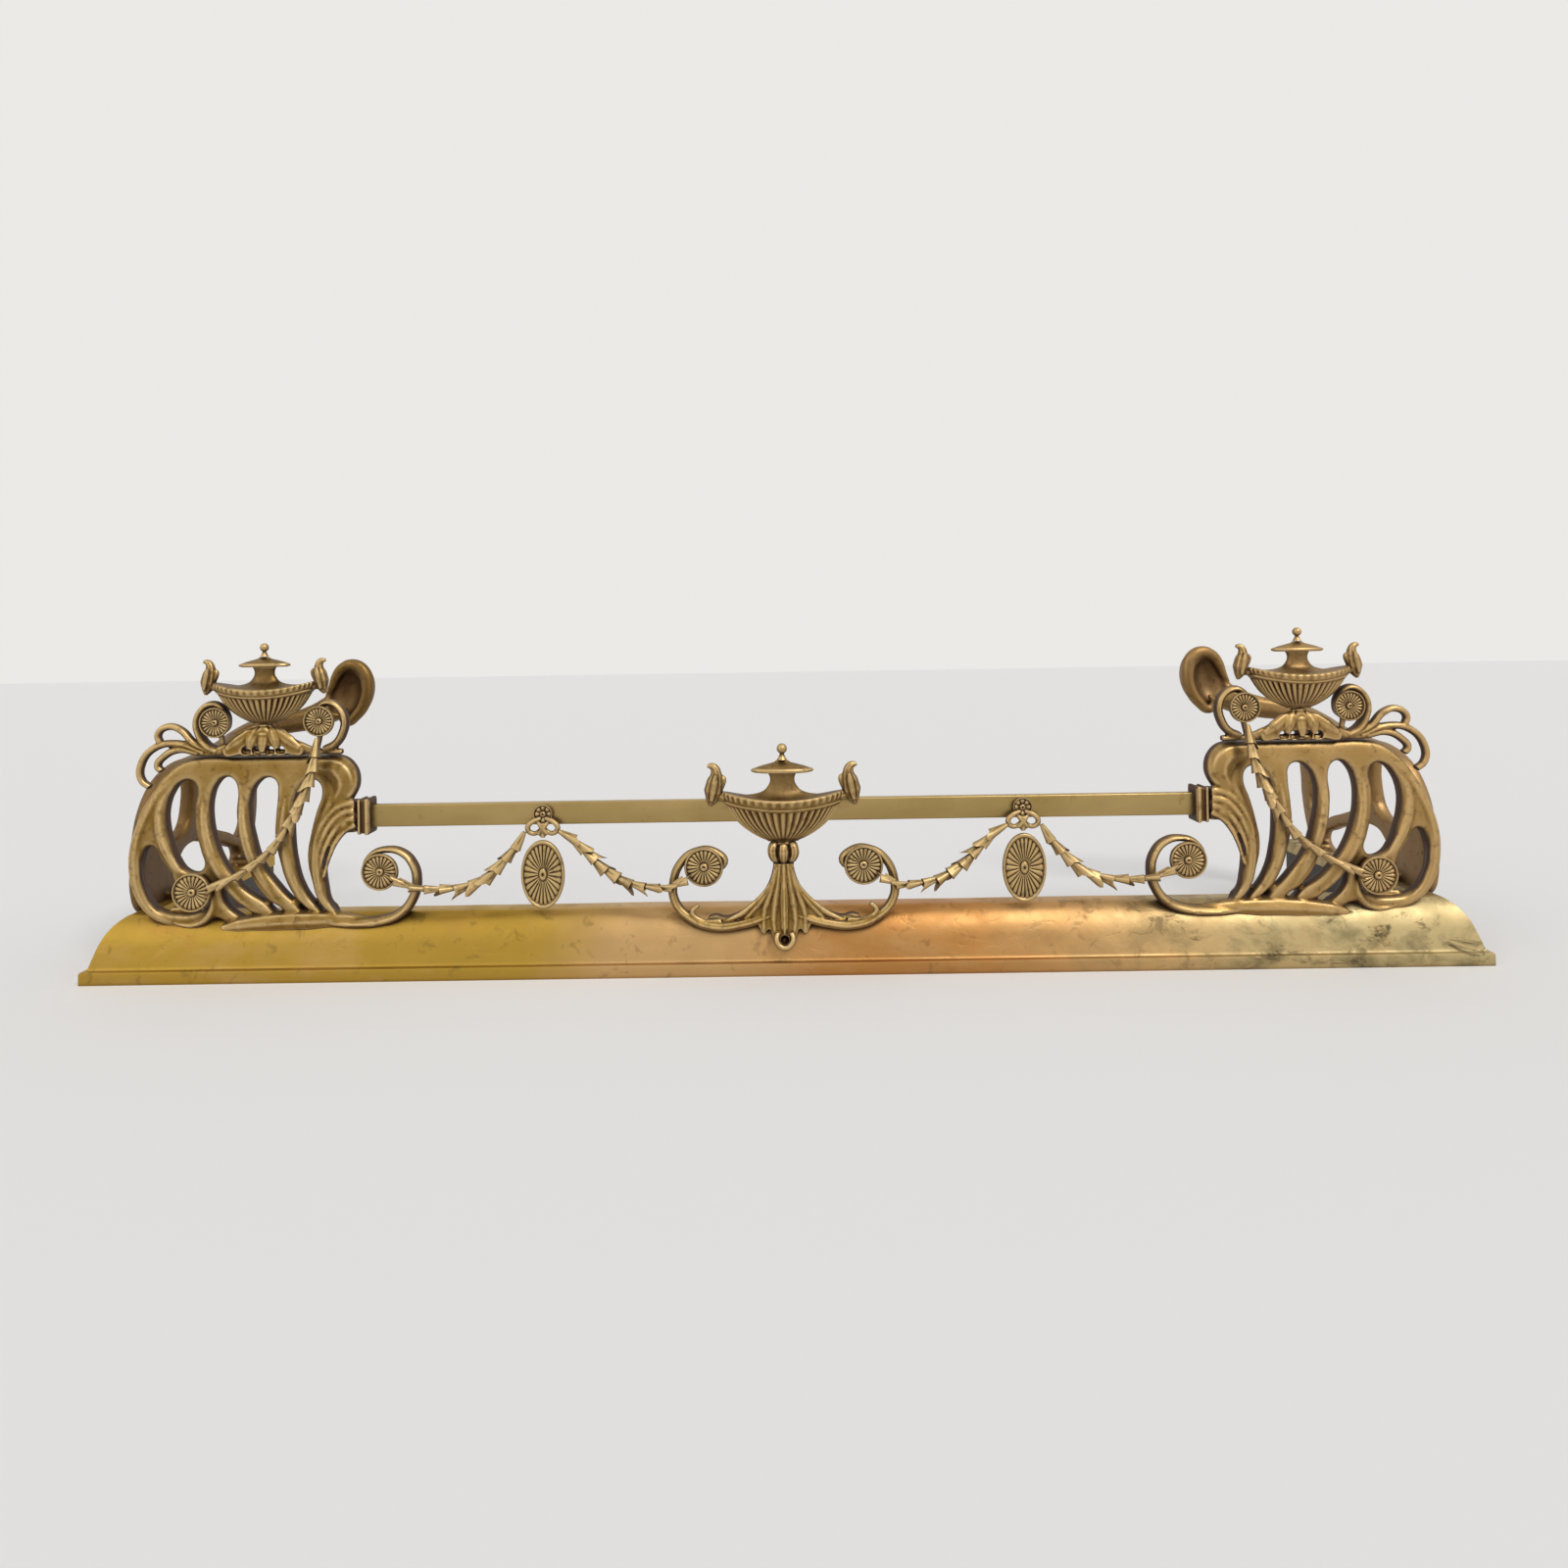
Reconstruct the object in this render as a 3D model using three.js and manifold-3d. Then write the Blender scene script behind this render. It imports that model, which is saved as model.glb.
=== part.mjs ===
// A brass hearth fender, in millimetres, +Z up, front towards -Y.
// The origin is on the floor at the middle of the bounding box.
// Outlines of the end pieces are given for the right end; the left end is its mirror image.
import * as THREE from "three";
import { mergeVertices } from "three/addons/utils/BufferGeometryUtils.js";
import Module from "manifold-3d";

const wasm = await Module();
wasm.setup();

// Driving dimensions
const LENGTH = 1370; // kerb, end to end
const DEPTH = 305; // kerb, front to back
const KERB_HEIGHT = 60;
const KERB_WIDTH = 50;
const SHEET = 1.6; // brass sheet
const IRON = 3; // iron strip
const GAP = 0.3; // between touching pieces
const RAIL_Z = 155; // middle of the rail bar
const RAIL_HEIGHT = 22;
const RAIL_THICK = 10;
const RAIL_D = 36; // middle of the rail bar, behind the kerb's front edge
const PLATE_THICK = 17; // openwork castings
const SIDE_PLANE = 36; // middle of the side castings, inside the kerb's outer edge
const CREST_D = 31; // middle plane of the crests
const CREST_X = 508.5; // half way between the two upper rosettes of an end
const END_URN_X = 514;
const CAGE_TOP = 217;
const KNOT_X = 238;
const CENTRE_D = 13; // backs of the two rosettes beside the centre urn
const COLLAR = { z: 106.5, height: 20.5 };
const SCREW_R = 2.5;
const ROD_R = 2.2; // tie rod from the finial down through the urn
const ROD_DOWN = 14; // how far it enters what the urn stands on

const FRONT = -DEPTH / 2; // Y of the kerb's front edge
const HALF = LENGTH / 2;

const material = (color, roughness, metalness) => new THREE.MeshStandardMaterial({ color, roughness, metalness });
const SHEET_BRASS = material(0xb98d35, 0.38, 1);
const CAST_BRASS = material(0x8f6b2c, 0.45, 1);
const URN_BRASS = material(0x866a35, 0.42, 1);
const ORNAMENT_BRASS = material(0x9a8644, 0.5, 1);
const RAIL_BRASS = material(0xab9450, 0.35, 1);
const DARK_IRON = material(0x2c2a28, 0.8, 0.7);

// ---------- geometry helpers ----------

function toSolid(geometry) {
  const plain = geometry.index ? geometry.clone() : geometry;
  plain.deleteAttribute("normal");
  plain.deleteAttribute("uv");
  const merged = mergeVertices(plain, 1e-3);
  return new wasm.Manifold(
    new wasm.Mesh({
      numProp: 3,
      vertProperties: merged.attributes.position.array,
      triVerts: new Uint32Array(merged.index.array),
    }),
  );
}

function toGeometry(solid) {
  const { numProp, numVert, vertProperties, triVerts } = solid.getMesh();
  const corners = new Float32Array(numVert * 3);
  for (let i = 0; i < numVert; i++) corners.set(vertProperties.subarray(i * numProp, i * numProp + 3), i * 3);
  const geometry = new THREE.BufferGeometry();
  geometry.setAttribute("position", new THREE.BufferAttribute(corners, 3));
  geometry.setIndex(new THREE.BufferAttribute(triVerts, 1));
  return geometry;
}

const join = (...geometries) => geometries.map(toSolid).reduce((a, b) => a.add(b));

// Moves each vertex of a geometry by a function of its place.
function shift(geometry, move) {
  const place = geometry.attributes.position;
  const v = new THREE.Vector3();
  for (let i = 0; i < place.count; i++) {
    v.fromBufferAttribute(place, i);
    move(v);
    place.setXYZ(i, v.x, v.y, v.z);
  }
  return geometry;
}

// Closed round outline through [x, z] points, running anticlockwise.
function outline(points, samples) {
  const curve = new THREE.CatmullRomCurve3(
    points.map(([x, z]) => new THREE.Vector3(x, z, 0)),
    true,
    "centripetal",
  );
  const line = curve.getSpacedPoints(samples).slice(0, -1).map((p) => new THREE.Vector2(p.x, p.y));
  return THREE.ShapeUtils.isClockWise(line) ? line.reverse() : line;
}

// Plate in the XZ plane with its back at depth back, its edges rounded over, thickening towards the front.
function plate(edge, holes, thick, back, bevel = 3) {
  const shape = new THREE.Shape(edge);
  shape.holes = holes.map((hole) => new THREE.Path(hole));
  const geometry = new THREE.ExtrudeGeometry(shape, {
    depth: thick - 2 * bevel,
    bevelEnabled: bevel > 0,
    bevelThickness: bevel,
    bevelSize: bevel,
    bevelOffset: -bevel,
    bevelSegments: 1,
  });
  geometry.rotateX(Math.PI / 2);
  return geometry.translate(0, FRONT + back - bevel, 0);
}

// Round limb along a smooth line through [x, d, z] points, its radius a function of the way along it.
function limb(points, radius, { sides = 6, steps = 12 } = {}) {
  const line = new THREE.CatmullRomCurve3(
    points.map(([x, d, z]) => new THREE.Vector3(x, FRONT + d, z)),
    false,
    "centripetal",
  );
  const radiusAt = typeof radius === "function" ? radius : () => radius;
  const frames = line.computeFrenetFrames(steps, false);
  const geometry = new THREE.CylinderGeometry(1, 1, 1, sides, steps);
  return shift(geometry, (v) => {
    const t = 0.5 - v.y;
    const step = Math.round(t * steps);
    const at = line.getPointAt(t);
    const r = radiusAt(t);
    at.addScaledVector(frames.normals[step], v.x * r).addScaledVector(frames.binormals[step], v.z * r);
    v.copy(at);
  });
}

// Radius that grows from thin at one end to thick at the other.
const taper = (from, to) => (t) => from + (to - from) * t;

const box = (width, depth, height, x, d, z) =>
  new THREE.BoxGeometry(width, depth, height).translate(x, FRONT + d, z);

// Disc or turned piece whose axis points to the front.
function frontLathe(profile, segments, x, d, z) {
  const geometry = new THREE.LatheGeometry(
    profile.map(([r, h]) => new THREE.Vector2(r, h)),
    segments,
  );
  return geometry.rotateX(Math.PI).translate(x, FRONT + d, z);
}

// Turned piece standing upright.
function upright(profile, segments, x, d, z) {
  const geometry = new THREE.LatheGeometry(
    profile.map(([r, h]) => new THREE.Vector2(r, h)),
    segments,
  );
  return geometry.rotateX(Math.PI / 2).translate(x, FRONT + d, z);
}

function post(radius, height, x, d, z, sides = 12) {
  return new THREE.CylinderGeometry(radius, radius, height, sides)
    .rotateX(Math.PI / 2)
    .translate(x, FRONT + d, z);
}

const named = (name, shape, look) => {
  const mesh = new THREE.Mesh(shape.isBufferGeometry ? shape : toGeometry(shape), look);
  mesh.name = name;
  return mesh;
};

// ---------- kerb and its iron frame ----------

// Outer profile of the kerb: distance behind the front edge, height.
const KERB_PROFILE = [
  [0, 0],
  [0, 10.5],
  [1.2, 12.4],
  [4.6, 13],
  [6, 15.5],
  [8, 22],
  [10.2, 29],
  [13, 37],
  [17, 45],
  [22.5, 52.5],
  [28.5, 57.6],
  [34, KERB_HEIGHT],
  [KERB_WIDTH, KERB_HEIGHT],
];
const KERB_LIP = 14; // turned down at the back edge

// Line moved sideways by a distance, to its right as it runs; corners keep the distance on both sides.
function besideLine(line, distance) {
  return line.map(([a, b], i) => {
    const [pa, pb] = line[Math.max(i - 1, 0)];
    const [na, nb] = line[Math.min(i + 1, line.length - 1)];
    const before = new THREE.Vector2(a - pa, b - pb).normalize();
    const after = new THREE.Vector2(na - a, nb - b).normalize();
    const along = before.clone().add(after).normalize();
    const cosine = Math.max(along.dot(before), along.dot(after), 0.5);
    return [a + (along.y * distance) / cosine, b - (along.x * distance) / cosine];
  });
}

const kerbLine = [...KERB_PROFILE, [KERB_WIDTH, KERB_HEIGHT - KERB_LIP]];
const insideLine = besideLine(kerbLine, SHEET).map(([d, h], i, line) => [
  d,
  i === 0 ? 0 : i === line.length - 1 ? KERB_HEIGHT - KERB_LIP : h,
]);
const SHEET_SECTION = [...kerbLine, ...insideLine.reverse()];

// Folded channel: foot flange on the floor, leg at the back, flange under the kerb's flat top.
const LEG_BACK = KERB_WIDTH - SHEET - GAP;
const FLANGE_TOP = KERB_HEIGHT - SHEET - GAP;
const FLANGE_FRONT = 36;
const CHANNEL_SECTION = [
  [6, 0],
  [LEG_BACK, 0],
  [LEG_BACK, FLANGE_TOP],
  [FLANGE_FRONT, FLANGE_TOP],
  [FLANGE_FRONT, FLANGE_TOP - IRON],
  [LEG_BACK - IRON, FLANGE_TOP - IRON],
  [LEG_BACK - IRON, IRON],
  [6, IRON],
];

// Length of section along the front, with both ends mitred.
function frontRun(section) {
  const shape = new THREE.Shape(section.map(([d, h]) => new THREE.Vector2(d, h)));
  const geometry = new THREE.ExtrudeGeometry(shape, { depth: 2, bevelEnabled: false });
  return shift(geometry, (v) => {
    const end = Math.sign(v.z - 1);
    v.set(end * (HALF - v.x - GAP / 2), FRONT + v.x, v.y);
  });
}

// The same section running back from the right-hand mitre.
function returnRun(section) {
  const shape = new THREE.Shape(section.map(([d, h]) => new THREE.Vector2(d, h)));
  const geometry = new THREE.ExtrudeGeometry(shape, { depth: 1, bevelEnabled: false });
  return shift(geometry, (v) => {
    const back = v.z > 0.5;
    v.set(HALF - v.x, back ? DEPTH / 2 : FRONT + v.x + GAP / 2, v.y);
  });
}

// Solid that the feet of the castings are cut by, so that they sit on the moulded kerb.
const seatLine = besideLine(KERB_PROFILE, -GAP);
const SEAT_SECTION = [...seatLine, [KERB_WIDTH + 20, KERB_HEIGHT + GAP], [KERB_WIDTH + 20, -5], [-GAP, -5]];
const frontSeat = toSolid(frontRun(SEAT_SECTION));
const returnSeat = toSolid(returnRun(SEAT_SECTION));

const SCREW_D = 42; // middle of the flat top
const CAGE_SCREW_X = [600, 470];
const SIDE_SCREW_D = [100, 250];
const screwPlaces = {
  front: [...CAGE_SCREW_X, ...CAGE_SCREW_X.map((x) => -x), 0].map((x) => [x, SCREW_D]),
  right: SIDE_SCREW_D.map((d) => [HALF - SCREW_D, d]),
};
const LUG_TOP = KERB_HEIGHT + 7;

// Lug behind a casting's foot that a screw goes down through; its underside is cut by the seat.
const LUG = { across: 22, tall: 17, d: 37 };
const lug = (x, d) => box(LUG.across, LUG.across, LUG.tall, x, d, LUG_TOP - LUG.tall / 2);

const drill = (places) =>
  places.map(([x, d]) => toSolid(post(SCREW_R + GAP, 40, x, d, LUG_TOP, 8))).reduce((a, b) => a.add(b));
const frontHoles = drill(screwPlaces.front);
const rightHoles = drill(screwPlaces.right);

function screw(x, d) {
  const profile = [
    [0, -18],
    [SCREW_R, -17],
    [SCREW_R, 0],
    [5, 0],
    [4.2, 3],
    [0, 3.8],
  ];
  return upright(profile, 8, x, d, LUG_TOP + GAP);
}

// Flat iron elbow lying in the corner on both foot flanges.
function cornerBracket() {
  const near = 12;
  const far = 40;
  const arm = 100;
  const edge = [
    [HALF - near, near],
    [HALF - near, arm],
    [HALF - far, arm],
    [HALF - far, far],
    [HALF - arm, far],
    [HALF - arm, near],
  ].map(([x, d]) => new THREE.Vector2(x, FRONT + d));
  const geometry = new THREE.ExtrudeGeometry(new THREE.Shape(edge), { depth: IRON, bevelEnabled: false });
  return geometry.translate(0, 0, IRON + GAP);
}

// ---------- end cage ----------

// Openwork castings bulge outwards: distance of the plate's face behind the kerb's outer edge at height z.
const BULGE = { near: 17, fall: 12, z: 110, half: 105 };
const plateFace = (z) => BULGE.near + BULGE.fall * ((z - BULGE.z) / BULGE.half) ** 2;
const plateBack = (z) => plateFace(z) + PLATE_THICK;

const CAGE_EDGE = [
  [460, 216], [500, 216], [540, 216], [583, 216], [598, 212], [612, 201], [627, 180], [637, 162], [643, 139],
  [647, 114], [644, 90], [634, 66], [622, 54], [598, 46], [578, 48], [562, 57], [543, 46], [520, 45], [470, 45],
  [430, 45], [400, 46], [396, 53], [420, 56], [441, 60], [448, 70], [452, 90], [453, 112], [449, 129],
  [437, 140], [428, 150], [434, 166], [424, 178], [421, 192], [429, 209], [442, 216],
];
const CAGE_HOLES = [
  [[625, 130], [634, 114], [635, 95], [629, 78], [617, 66], [598, 62], [578, 65], [568, 74], [570, 84],
    [578, 76], [592, 78], [600, 88], [604, 101], [614, 116]],
  [[587, 193], [597, 192], [605, 183], [610, 167], [609, 148], [604, 131], [598, 116], [590, 106], [578, 104],
    [572, 110], [575, 123], [580, 143], [582, 167], [581, 186]],
  [[562, 189], [554, 196], [546, 194], [541, 184], [541, 162], [537, 137], [530, 113], [523, 93], [510, 75],
    [496, 61], [514, 74], [529, 84], [541, 97], [552, 113], [562, 138], [566, 157], [566, 177]],
  [[520, 191], [510, 195], [503, 191], [501, 180], [502, 156], [502, 137], [497, 112], [491, 92], [481, 74],
    [468, 61], [485, 74], [500, 91], [515, 113], [523, 137], [527, 157], [527, 176]],
  [[470, 192], [461, 190], [457, 180], [462, 161], [467, 139], [470, 117], [466, 93], [460, 73], [449, 61],
    [464, 72], [475, 90], [481, 112], [484, 137], [484, 161], [480, 182]],
  [[552, 89], [546, 80], [537, 70], [527, 62], [517, 56], [531, 57], [542, 62], [550, 70], [554, 80]],
];
const LOWER_ROSETTE = { x: 580, z: 86, r: 19 };
const VOLUTE_ROSETTE = { x: 396, z: 103, r: 18 };
const UPPER_SPREAD = 51.5; // of each upper rosette from CREST_X
const INNER_ROSETTE = { x: CREST_X - UPPER_SPREAD, z: 251, r: 15 };
const OUTER_ROSETTE = { x: CREST_X + UPPER_SPREAD, z: 251, r: 15 };
const CENTRE_ROSETTE = { x: 78, z: 104, r: 19 };

const ROSETTE_STUD = { r: 3, length: 6 };

// Round boss that a rosette sits on; its face is at depth front.
function bossAt(at, front, deep, r = at.r * 0.55) {
  return new THREE.CylinderGeometry(r, r, deep, 12).translate(at.x, FRONT + front + deep / 2, at.z);
}
const bossHole = (at, front) =>
  toSolid(
    new THREE.CylinderGeometry(ROSETTE_STUD.r + GAP, ROSETTE_STUD.r + GAP, 20, 8).translate(
      at.x,
      FRONT + front + ROSETTE_STUD.length + GAP - 10,
      at.z,
    ),
  );

const CAGE_ROSETTE_D = 15; // back faces of the rosettes
const VOLUTE_D = 17;

// The scroll under the lower rosette and the volute of the foot, as [x, d, z] lines.
const CURL_LINE = [[598, 25, 54], [578, 24, 56], [566, 22, 66], [563, 20, 80], [572, 20, 92]];
const VOLUTE_LINE = [
  [430, 26, 52], [400, 25, 52], [382, 24, 57], [368, 23, 72], [363, 22, 92], [367, 22, 108], [378, 22, 119],
  [393, 22, 122], [407, 22, 117], [413, 22, 105], [407, 22, 94],
];
const SHOULDER = { x: 438, d: 32, z: 194, across: 16, deep: 11, up: 21 };
const SOCKET = { x: 430.5, long: 14, deep: 20, tall: RAIL_HEIGHT + 9 };
const ARM_LINE = [[454, 28, 143], [446, 30, 148], [435, 34, 153]]; // from the cage's waist to the socket

const ellipsoid = ({ x, d, z, across, deep, up }, around, rings) =>
  new THREE.SphereGeometry(1, around, rings).scale(across, deep, up).translate(x, FRONT + d, z);

function endCage() {
  const body = plate(outline(CAGE_EDGE, 72), CAGE_HOLES.map((hole) => outline(hole, 15)), PLATE_THICK, 0);
  shift(body, (v) => {
    v.y += plateBack(v.z);
  });
  const spokeEnd = [VOLUTE_ROSETTE.x, VOLUTE_D + 6, VOLUTE_ROSETTE.z];
  const solid = join(
    body,
    ellipsoid(SHOULDER, 10, 6),
    limb(CURL_LINE, taper(7, 4), { steps: 6 }),
    limb(VOLUTE_LINE, taper(8, 3.6), { steps: 14 }),
    limb([[412, 23, 102], spokeEnd], 4.5, { steps: 1 }),
    limb(ARM_LINE, taper(10, 13), { steps: 3 }),
    box(SOCKET.long, SOCKET.deep, SOCKET.tall, SOCKET.x, RAIL_D, RAIL_Z),
    bossAt(LOWER_ROSETTE, CAGE_ROSETTE_D, 14),
    bossAt(VOLUTE_ROSETTE, VOLUTE_D, 10),
    ...CAGE_SCREW_X.map((x) => lug(x, LUG.d)),
  );
  return solid
    .subtract(frontSeat)
    .subtract(frontHoles)
    .subtract(bossHole(LOWER_ROSETTE, CAGE_ROSETTE_D))
    .subtract(bossHole(VOLUTE_ROSETTE, VOLUTE_D));
}

// ---------- side casting ----------

// [distance behind the kerb's front edge, height]
const SIDE_EDGE = [
  [70, 50], [56, 56], [50, 75], [52, 100], [58, 135], [68, 166], [84, 188], [108, 200], [140, 204], [175, 208],
  [205, 214], [235, 222], [262, 229], [282, 230], [295, 220], [299, 200], [297, 172], [297, 145], [297, 120],
  [292, 98], [283, 78], [272, 62], [262, 50], [230, 46], [140, 46],
];
const SIDE_HOLES = [
  [[86, 128], [76, 146], [80, 166], [92, 180], [110, 187], [130, 187], [140, 172], [143, 150], [136, 128],
    [112, 118]],
  [[172, 126], [162, 148], [162, 176], [176, 191], [205, 198], [235, 205], [260, 209], [275, 196], [275, 165],
    [275, 135], [272, 106], [257, 94], [230, 103], [200, 113]],
  [[130, 66], [118, 82], [128, 100], [150, 107], [175, 103], [202, 96], [230, 86], [250, 74], [240, 64],
    [190, 61]],
];
const REAR_KNOB = { d: 272, z: 265, across: 24.5, deep: 25, up: 38 };
const KNOB_LEAN = 131; // towards the middle of the fender from the side casting's plane
// Its hollow is open to the front and leaves it thickest on the side towards the middle.
const KNOB_HOLLOW = { outwards: 4, forwards: 8, across: 17, deep: 22, up: 30 };
const CORNER_LOBE = { x: HALF - 26, d: 86, z: 84, across: 9, deep: 32, up: 34 };

function sideCasting() {
  const body = plate(outline(SIDE_EDGE, 60), SIDE_HOLES.map((hole) => outline(hole, 14)), PLATE_THICK, 0);
  // The plate's X holds the distance behind the front edge; turned round, its front faces outwards.
  shift(body, (v) => {
    const outward = v.y - FRONT;
    v.set(HALF - outward - plateBack(v.z), FRONT + v.x, v.z);
  });
  const plane = HALF - SIDE_PLANE;
  const knob = { ...REAR_KNOB, x: plane - KNOB_LEAN };
  const hollow = {
    ...KNOB_HOLLOW,
    x: knob.x + KNOB_HOLLOW.outwards,
    d: knob.d - KNOB_HOLLOW.forwards,
    z: knob.z,
  };
  const scroll = limb(
    [[plane, 232, 213], [plane - 20, 250, 224], [plane - 62, 262, 232], [knob.x + 19, 268, 250]],
    taper(8, 14),
    { sides: 8, steps: 6 },
  );
  const lugs = SIDE_SCREW_D.map((d) => lug(HALF - LUG.d, d));
  return join(body, scroll, ellipsoid(knob, 14, 9), ellipsoid(CORNER_LOBE, 12, 7), ...lugs)
    .subtract(toSolid(ellipsoid(hollow, 12, 8)))
    .subtract(returnSeat)
    .subtract(rightHoles);
}

// ---------- crest and urns ----------

const END_URN = { x: END_URN_X, d: CREST_D, z: 249, half: 50, flat: 0.42 };
const CENTRE_URN = { x: 0, d: 15, z: 127.5, half: 60, flat: 0.24 };
const UPPER_D = CREST_D - 6; // backs of the upper rosettes

// Scroll that winds round an upper rosette: [distance from its axis away from the urn, height].
const SCROLL_LINE = [
  [2, 222], [13, 228], [20, 239], [22, 252], [17, 263], [9, 268], [2, 266], [-4, 259], [-7, 251], [-4, 245],
  [2, 247],
];
// Arm of the leaf under the urn: [distance from the urn's axis, height].
const SCROLL_ARM = [[0, 242], [10, 236], [24, 228], [46, 222]];
const WHIP_LOOPS = [
  [[567, 222], [585, 230], [599, 244], [611, 247], [621, 240], [619, 230]],
  [[575, 221], [601, 230], [625, 226], [639, 208], [638, 194], [630, 187]],
  [[581, 221], [601, 224], [616, 217], [622, 208], [618, 203]],
];
const CREST_LEAF = [
  [514, 246], [504, 237], [488, 230], [476, 220], [496, 221], [506, 218], [514, 221], [522, 218], [532, 221],
  [552, 220], [540, 230], [524, 237],
];
const CREST_FOOT = { long: 146, deep: 9, tall: 8 };
const STEM = { r: 9, tall: 20 };

function crest() {
  const d = CREST_D;
  const scrolls = [-1, 1].map((side) =>
    SCROLL_LINE.map(([u, z]) => [CREST_X + side * (UPPER_SPREAD + u), d, z]),
  );
  const arms = [-1, 1].map((side) => SCROLL_ARM.map(([u, z]) => [END_URN_X + side * u, d, z]));
  const loops = WHIP_LOOPS.map((line) => line.map(([x, z]) => [x, d, z]));
  const limbs = [
    ...scrolls.map((line) => limb(line, taper(5, 3), { steps: 13, sides: 5 })),
    ...arms.map((line) => limb(line, taper(7, 4), { steps: 4 })),
    ...loops.map((line) => limb(line, taper(4, 3.4), { steps: 8, sides: 5 })),
  ];
  const leaf = plate(outline(CREST_LEAF, 28), [], 9, d - 1, 2);
  const foot = box(CREST_FOOT.long, CREST_FOOT.deep, CREST_FOOT.tall, CREST_X, d, CAGE_TOP + 2);
  const stem = post(STEM.r, STEM.tall, END_URN_X, d, END_URN.z - GAP - STEM.tall / 2, 8);
  const bosses = [INNER_ROSETTE, OUTER_ROSETTE].map((at) => bossAt(at, UPPER_D, 10));
  const cageTop = box(200, 60, 40, CREST_X, d, CAGE_TOP + GAP - 20);
  const rodHole = post(ROD_R + GAP, 60, END_URN_X, d, END_URN.z - ROD_DOWN + 30, 8);
  return join(stem, leaf, foot, ...limbs, ...bosses)
    .subtract(toSolid(cageTop))
    .subtract(toSolid(rodHole))
    .subtract(bossHole(INNER_ROSETTE, UPPER_D))
    .subtract(bossHole(OUTER_ROSETTE, UPPER_D));
}

// Half profile of the flattened urn, from its foot up, in half-widths of the bowl.
const BOWL_PROFILE = [
  [0, 0], [0.24, 0], [0.4, 0.06], [0.57, 0.16], [0.76, 0.28], [0.93, 0.46], [1, 0.56], [1.02, 0.62],
  [0.94, 0.68], [0.6, 0.74], [0.32, 0.83], [0.22, 0.96], [0.24, 1.12], [0, 1.12],
];

const HANDLE_POINTS = [
  [0.84, 0.68], [1.02, 0.66], [1.15, 0.68], [1.18, 0.82], [1.15, 0.98], [1.12, 1.12], [1.16, 1.25], [1.26, 1.27],
];

// Bowl with its shoulder, neck and two flame handles.
function urnBowl({ x, d, z, half, flat, segments = 24 }) {
  const profile = BOWL_PROFILE.map(([r, h]) => new THREE.Vector2(r * half, h * half));
  const body = new THREE.LatheGeometry(profile, segments).rotateX(Math.PI / 2);
  const lift = 0.16 * half;
  shift(body, (v) => {
    const out = Math.hypot(v.x, v.y) / half;
    const flute = v.z > 0.1 * half && v.z < 0.5 * half ? 1 : 0;
    const turn = Math.round((Math.atan2(v.y, v.x) / (2 * Math.PI)) * segments);
    const dent = flute && turn % 2 ? 0.985 : 1;
    v.x *= dent;
    v.y *= flat * dent;
    v.z += lift * (v.x / half) ** 2 * Math.min(1, v.z / (0.6 * half)) * Math.min(1, out);
  });
  body.translate(x, FRONT + d, z);
  const handles = [-1, 1].map((side) =>
    limb(
      HANDLE_POINTS.map(([u, h]) => [x + side * u * half, d, z + h * half]),
      (t) => half * (0.06 + 0.1 * Math.exp(-(((t - 0.48) / 0.2) ** 2))),
      { steps: 9 },
    ),
  );
  return join(body, ...handles).subtract(toSolid(post(ROD_R + GAP, 3 * half, x, d, z + half * 0.5, 8)));
}

const LID_RISE = 0.17;

function urnLid({ x, d, z, half, flat }) {
  const under = 1.12 * half + GAP;
  const profile = [
    [0, under],
    [0.5 * half, under],
    [0.52 * half, under + 0.03 * half],
    [0.3 * half, under + 0.1 * half],
    [0.12 * half, under + LID_RISE * half],
    [0, under + LID_RISE * half],
  ];
  const body = upright(profile, 20, 0, 0, 0);
  shift(body, (v) => {
    v.y = FRONT + d + (v.y - FRONT) * (Math.abs(v.x) + Math.abs(v.y - FRONT) < 0.1 ? 1 : Math.max(flat, 0.42));
    v.x += x;
    v.z += z;
  });
  return toSolid(body).subtract(toSolid(post(ROD_R + GAP, 60, x, d, z + under, 8)));
}

// Ball finial with its tie rod.
function urnFinial({ x, d, z, half }) {
  const foot = (1.12 + LID_RISE) * half + 2 * GAP;
  const ball = 0.085 * half;
  const middle = foot + 0.18 * half;
  const profile = [
    [0, -ROD_DOWN + 1],
    [ROD_R, -ROD_DOWN + 1],
    [ROD_R, foot],
    [0.1 * half, foot],
    [0.04 * half, foot + 0.06 * half],
  ];
  const rings = 4;
  for (let i = 1; i <= rings; i++) {
    const angle = -Math.PI / 2 + (0.2 + (0.8 * i) / rings) * Math.PI;
    profile.push([i === rings ? 0 : Math.cos(angle) * ball, middle + Math.sin(angle) * ball]);
  }
  return upright(profile, 8, x, d, z);
}

// ---------- ornaments ----------

// Round rosette facing the front, with its stud; back is the depth of its back face.
function rosette({ x, z, r }, back) {
  const profile = [
    [0, -ROSETTE_STUD.length],
    [ROSETTE_STUD.r, -ROSETTE_STUD.length],
    [ROSETTE_STUD.r, 0],
    [r, 0],
    [r - 0.6, 5],
    [r - 3.6, 4.4],
    [r * 0.3, 3.4],
    [0, 7],
  ];
  return frontLathe(profile, 14, x, back - GAP, z);
}

// Chain of husks: each swells towards its mouth.
function swag(points, husks, slim = 3.2, stout = 5.6) {
  const radius = (t) => {
    const along = t * husks;
    const husk = Math.min(husks - 1, Math.floor(along + 1e-6));
    const within = along - husk;
    const middle = 1 - Math.abs(2 * t - 1);
    const size = slim + (stout - slim) * (0.35 + 0.65 * middle);
    return size * (within < 0.4 ? 0.68 : 1);
  };
  return limb(points, radius, { steps: husks * 2 });
}

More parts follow.
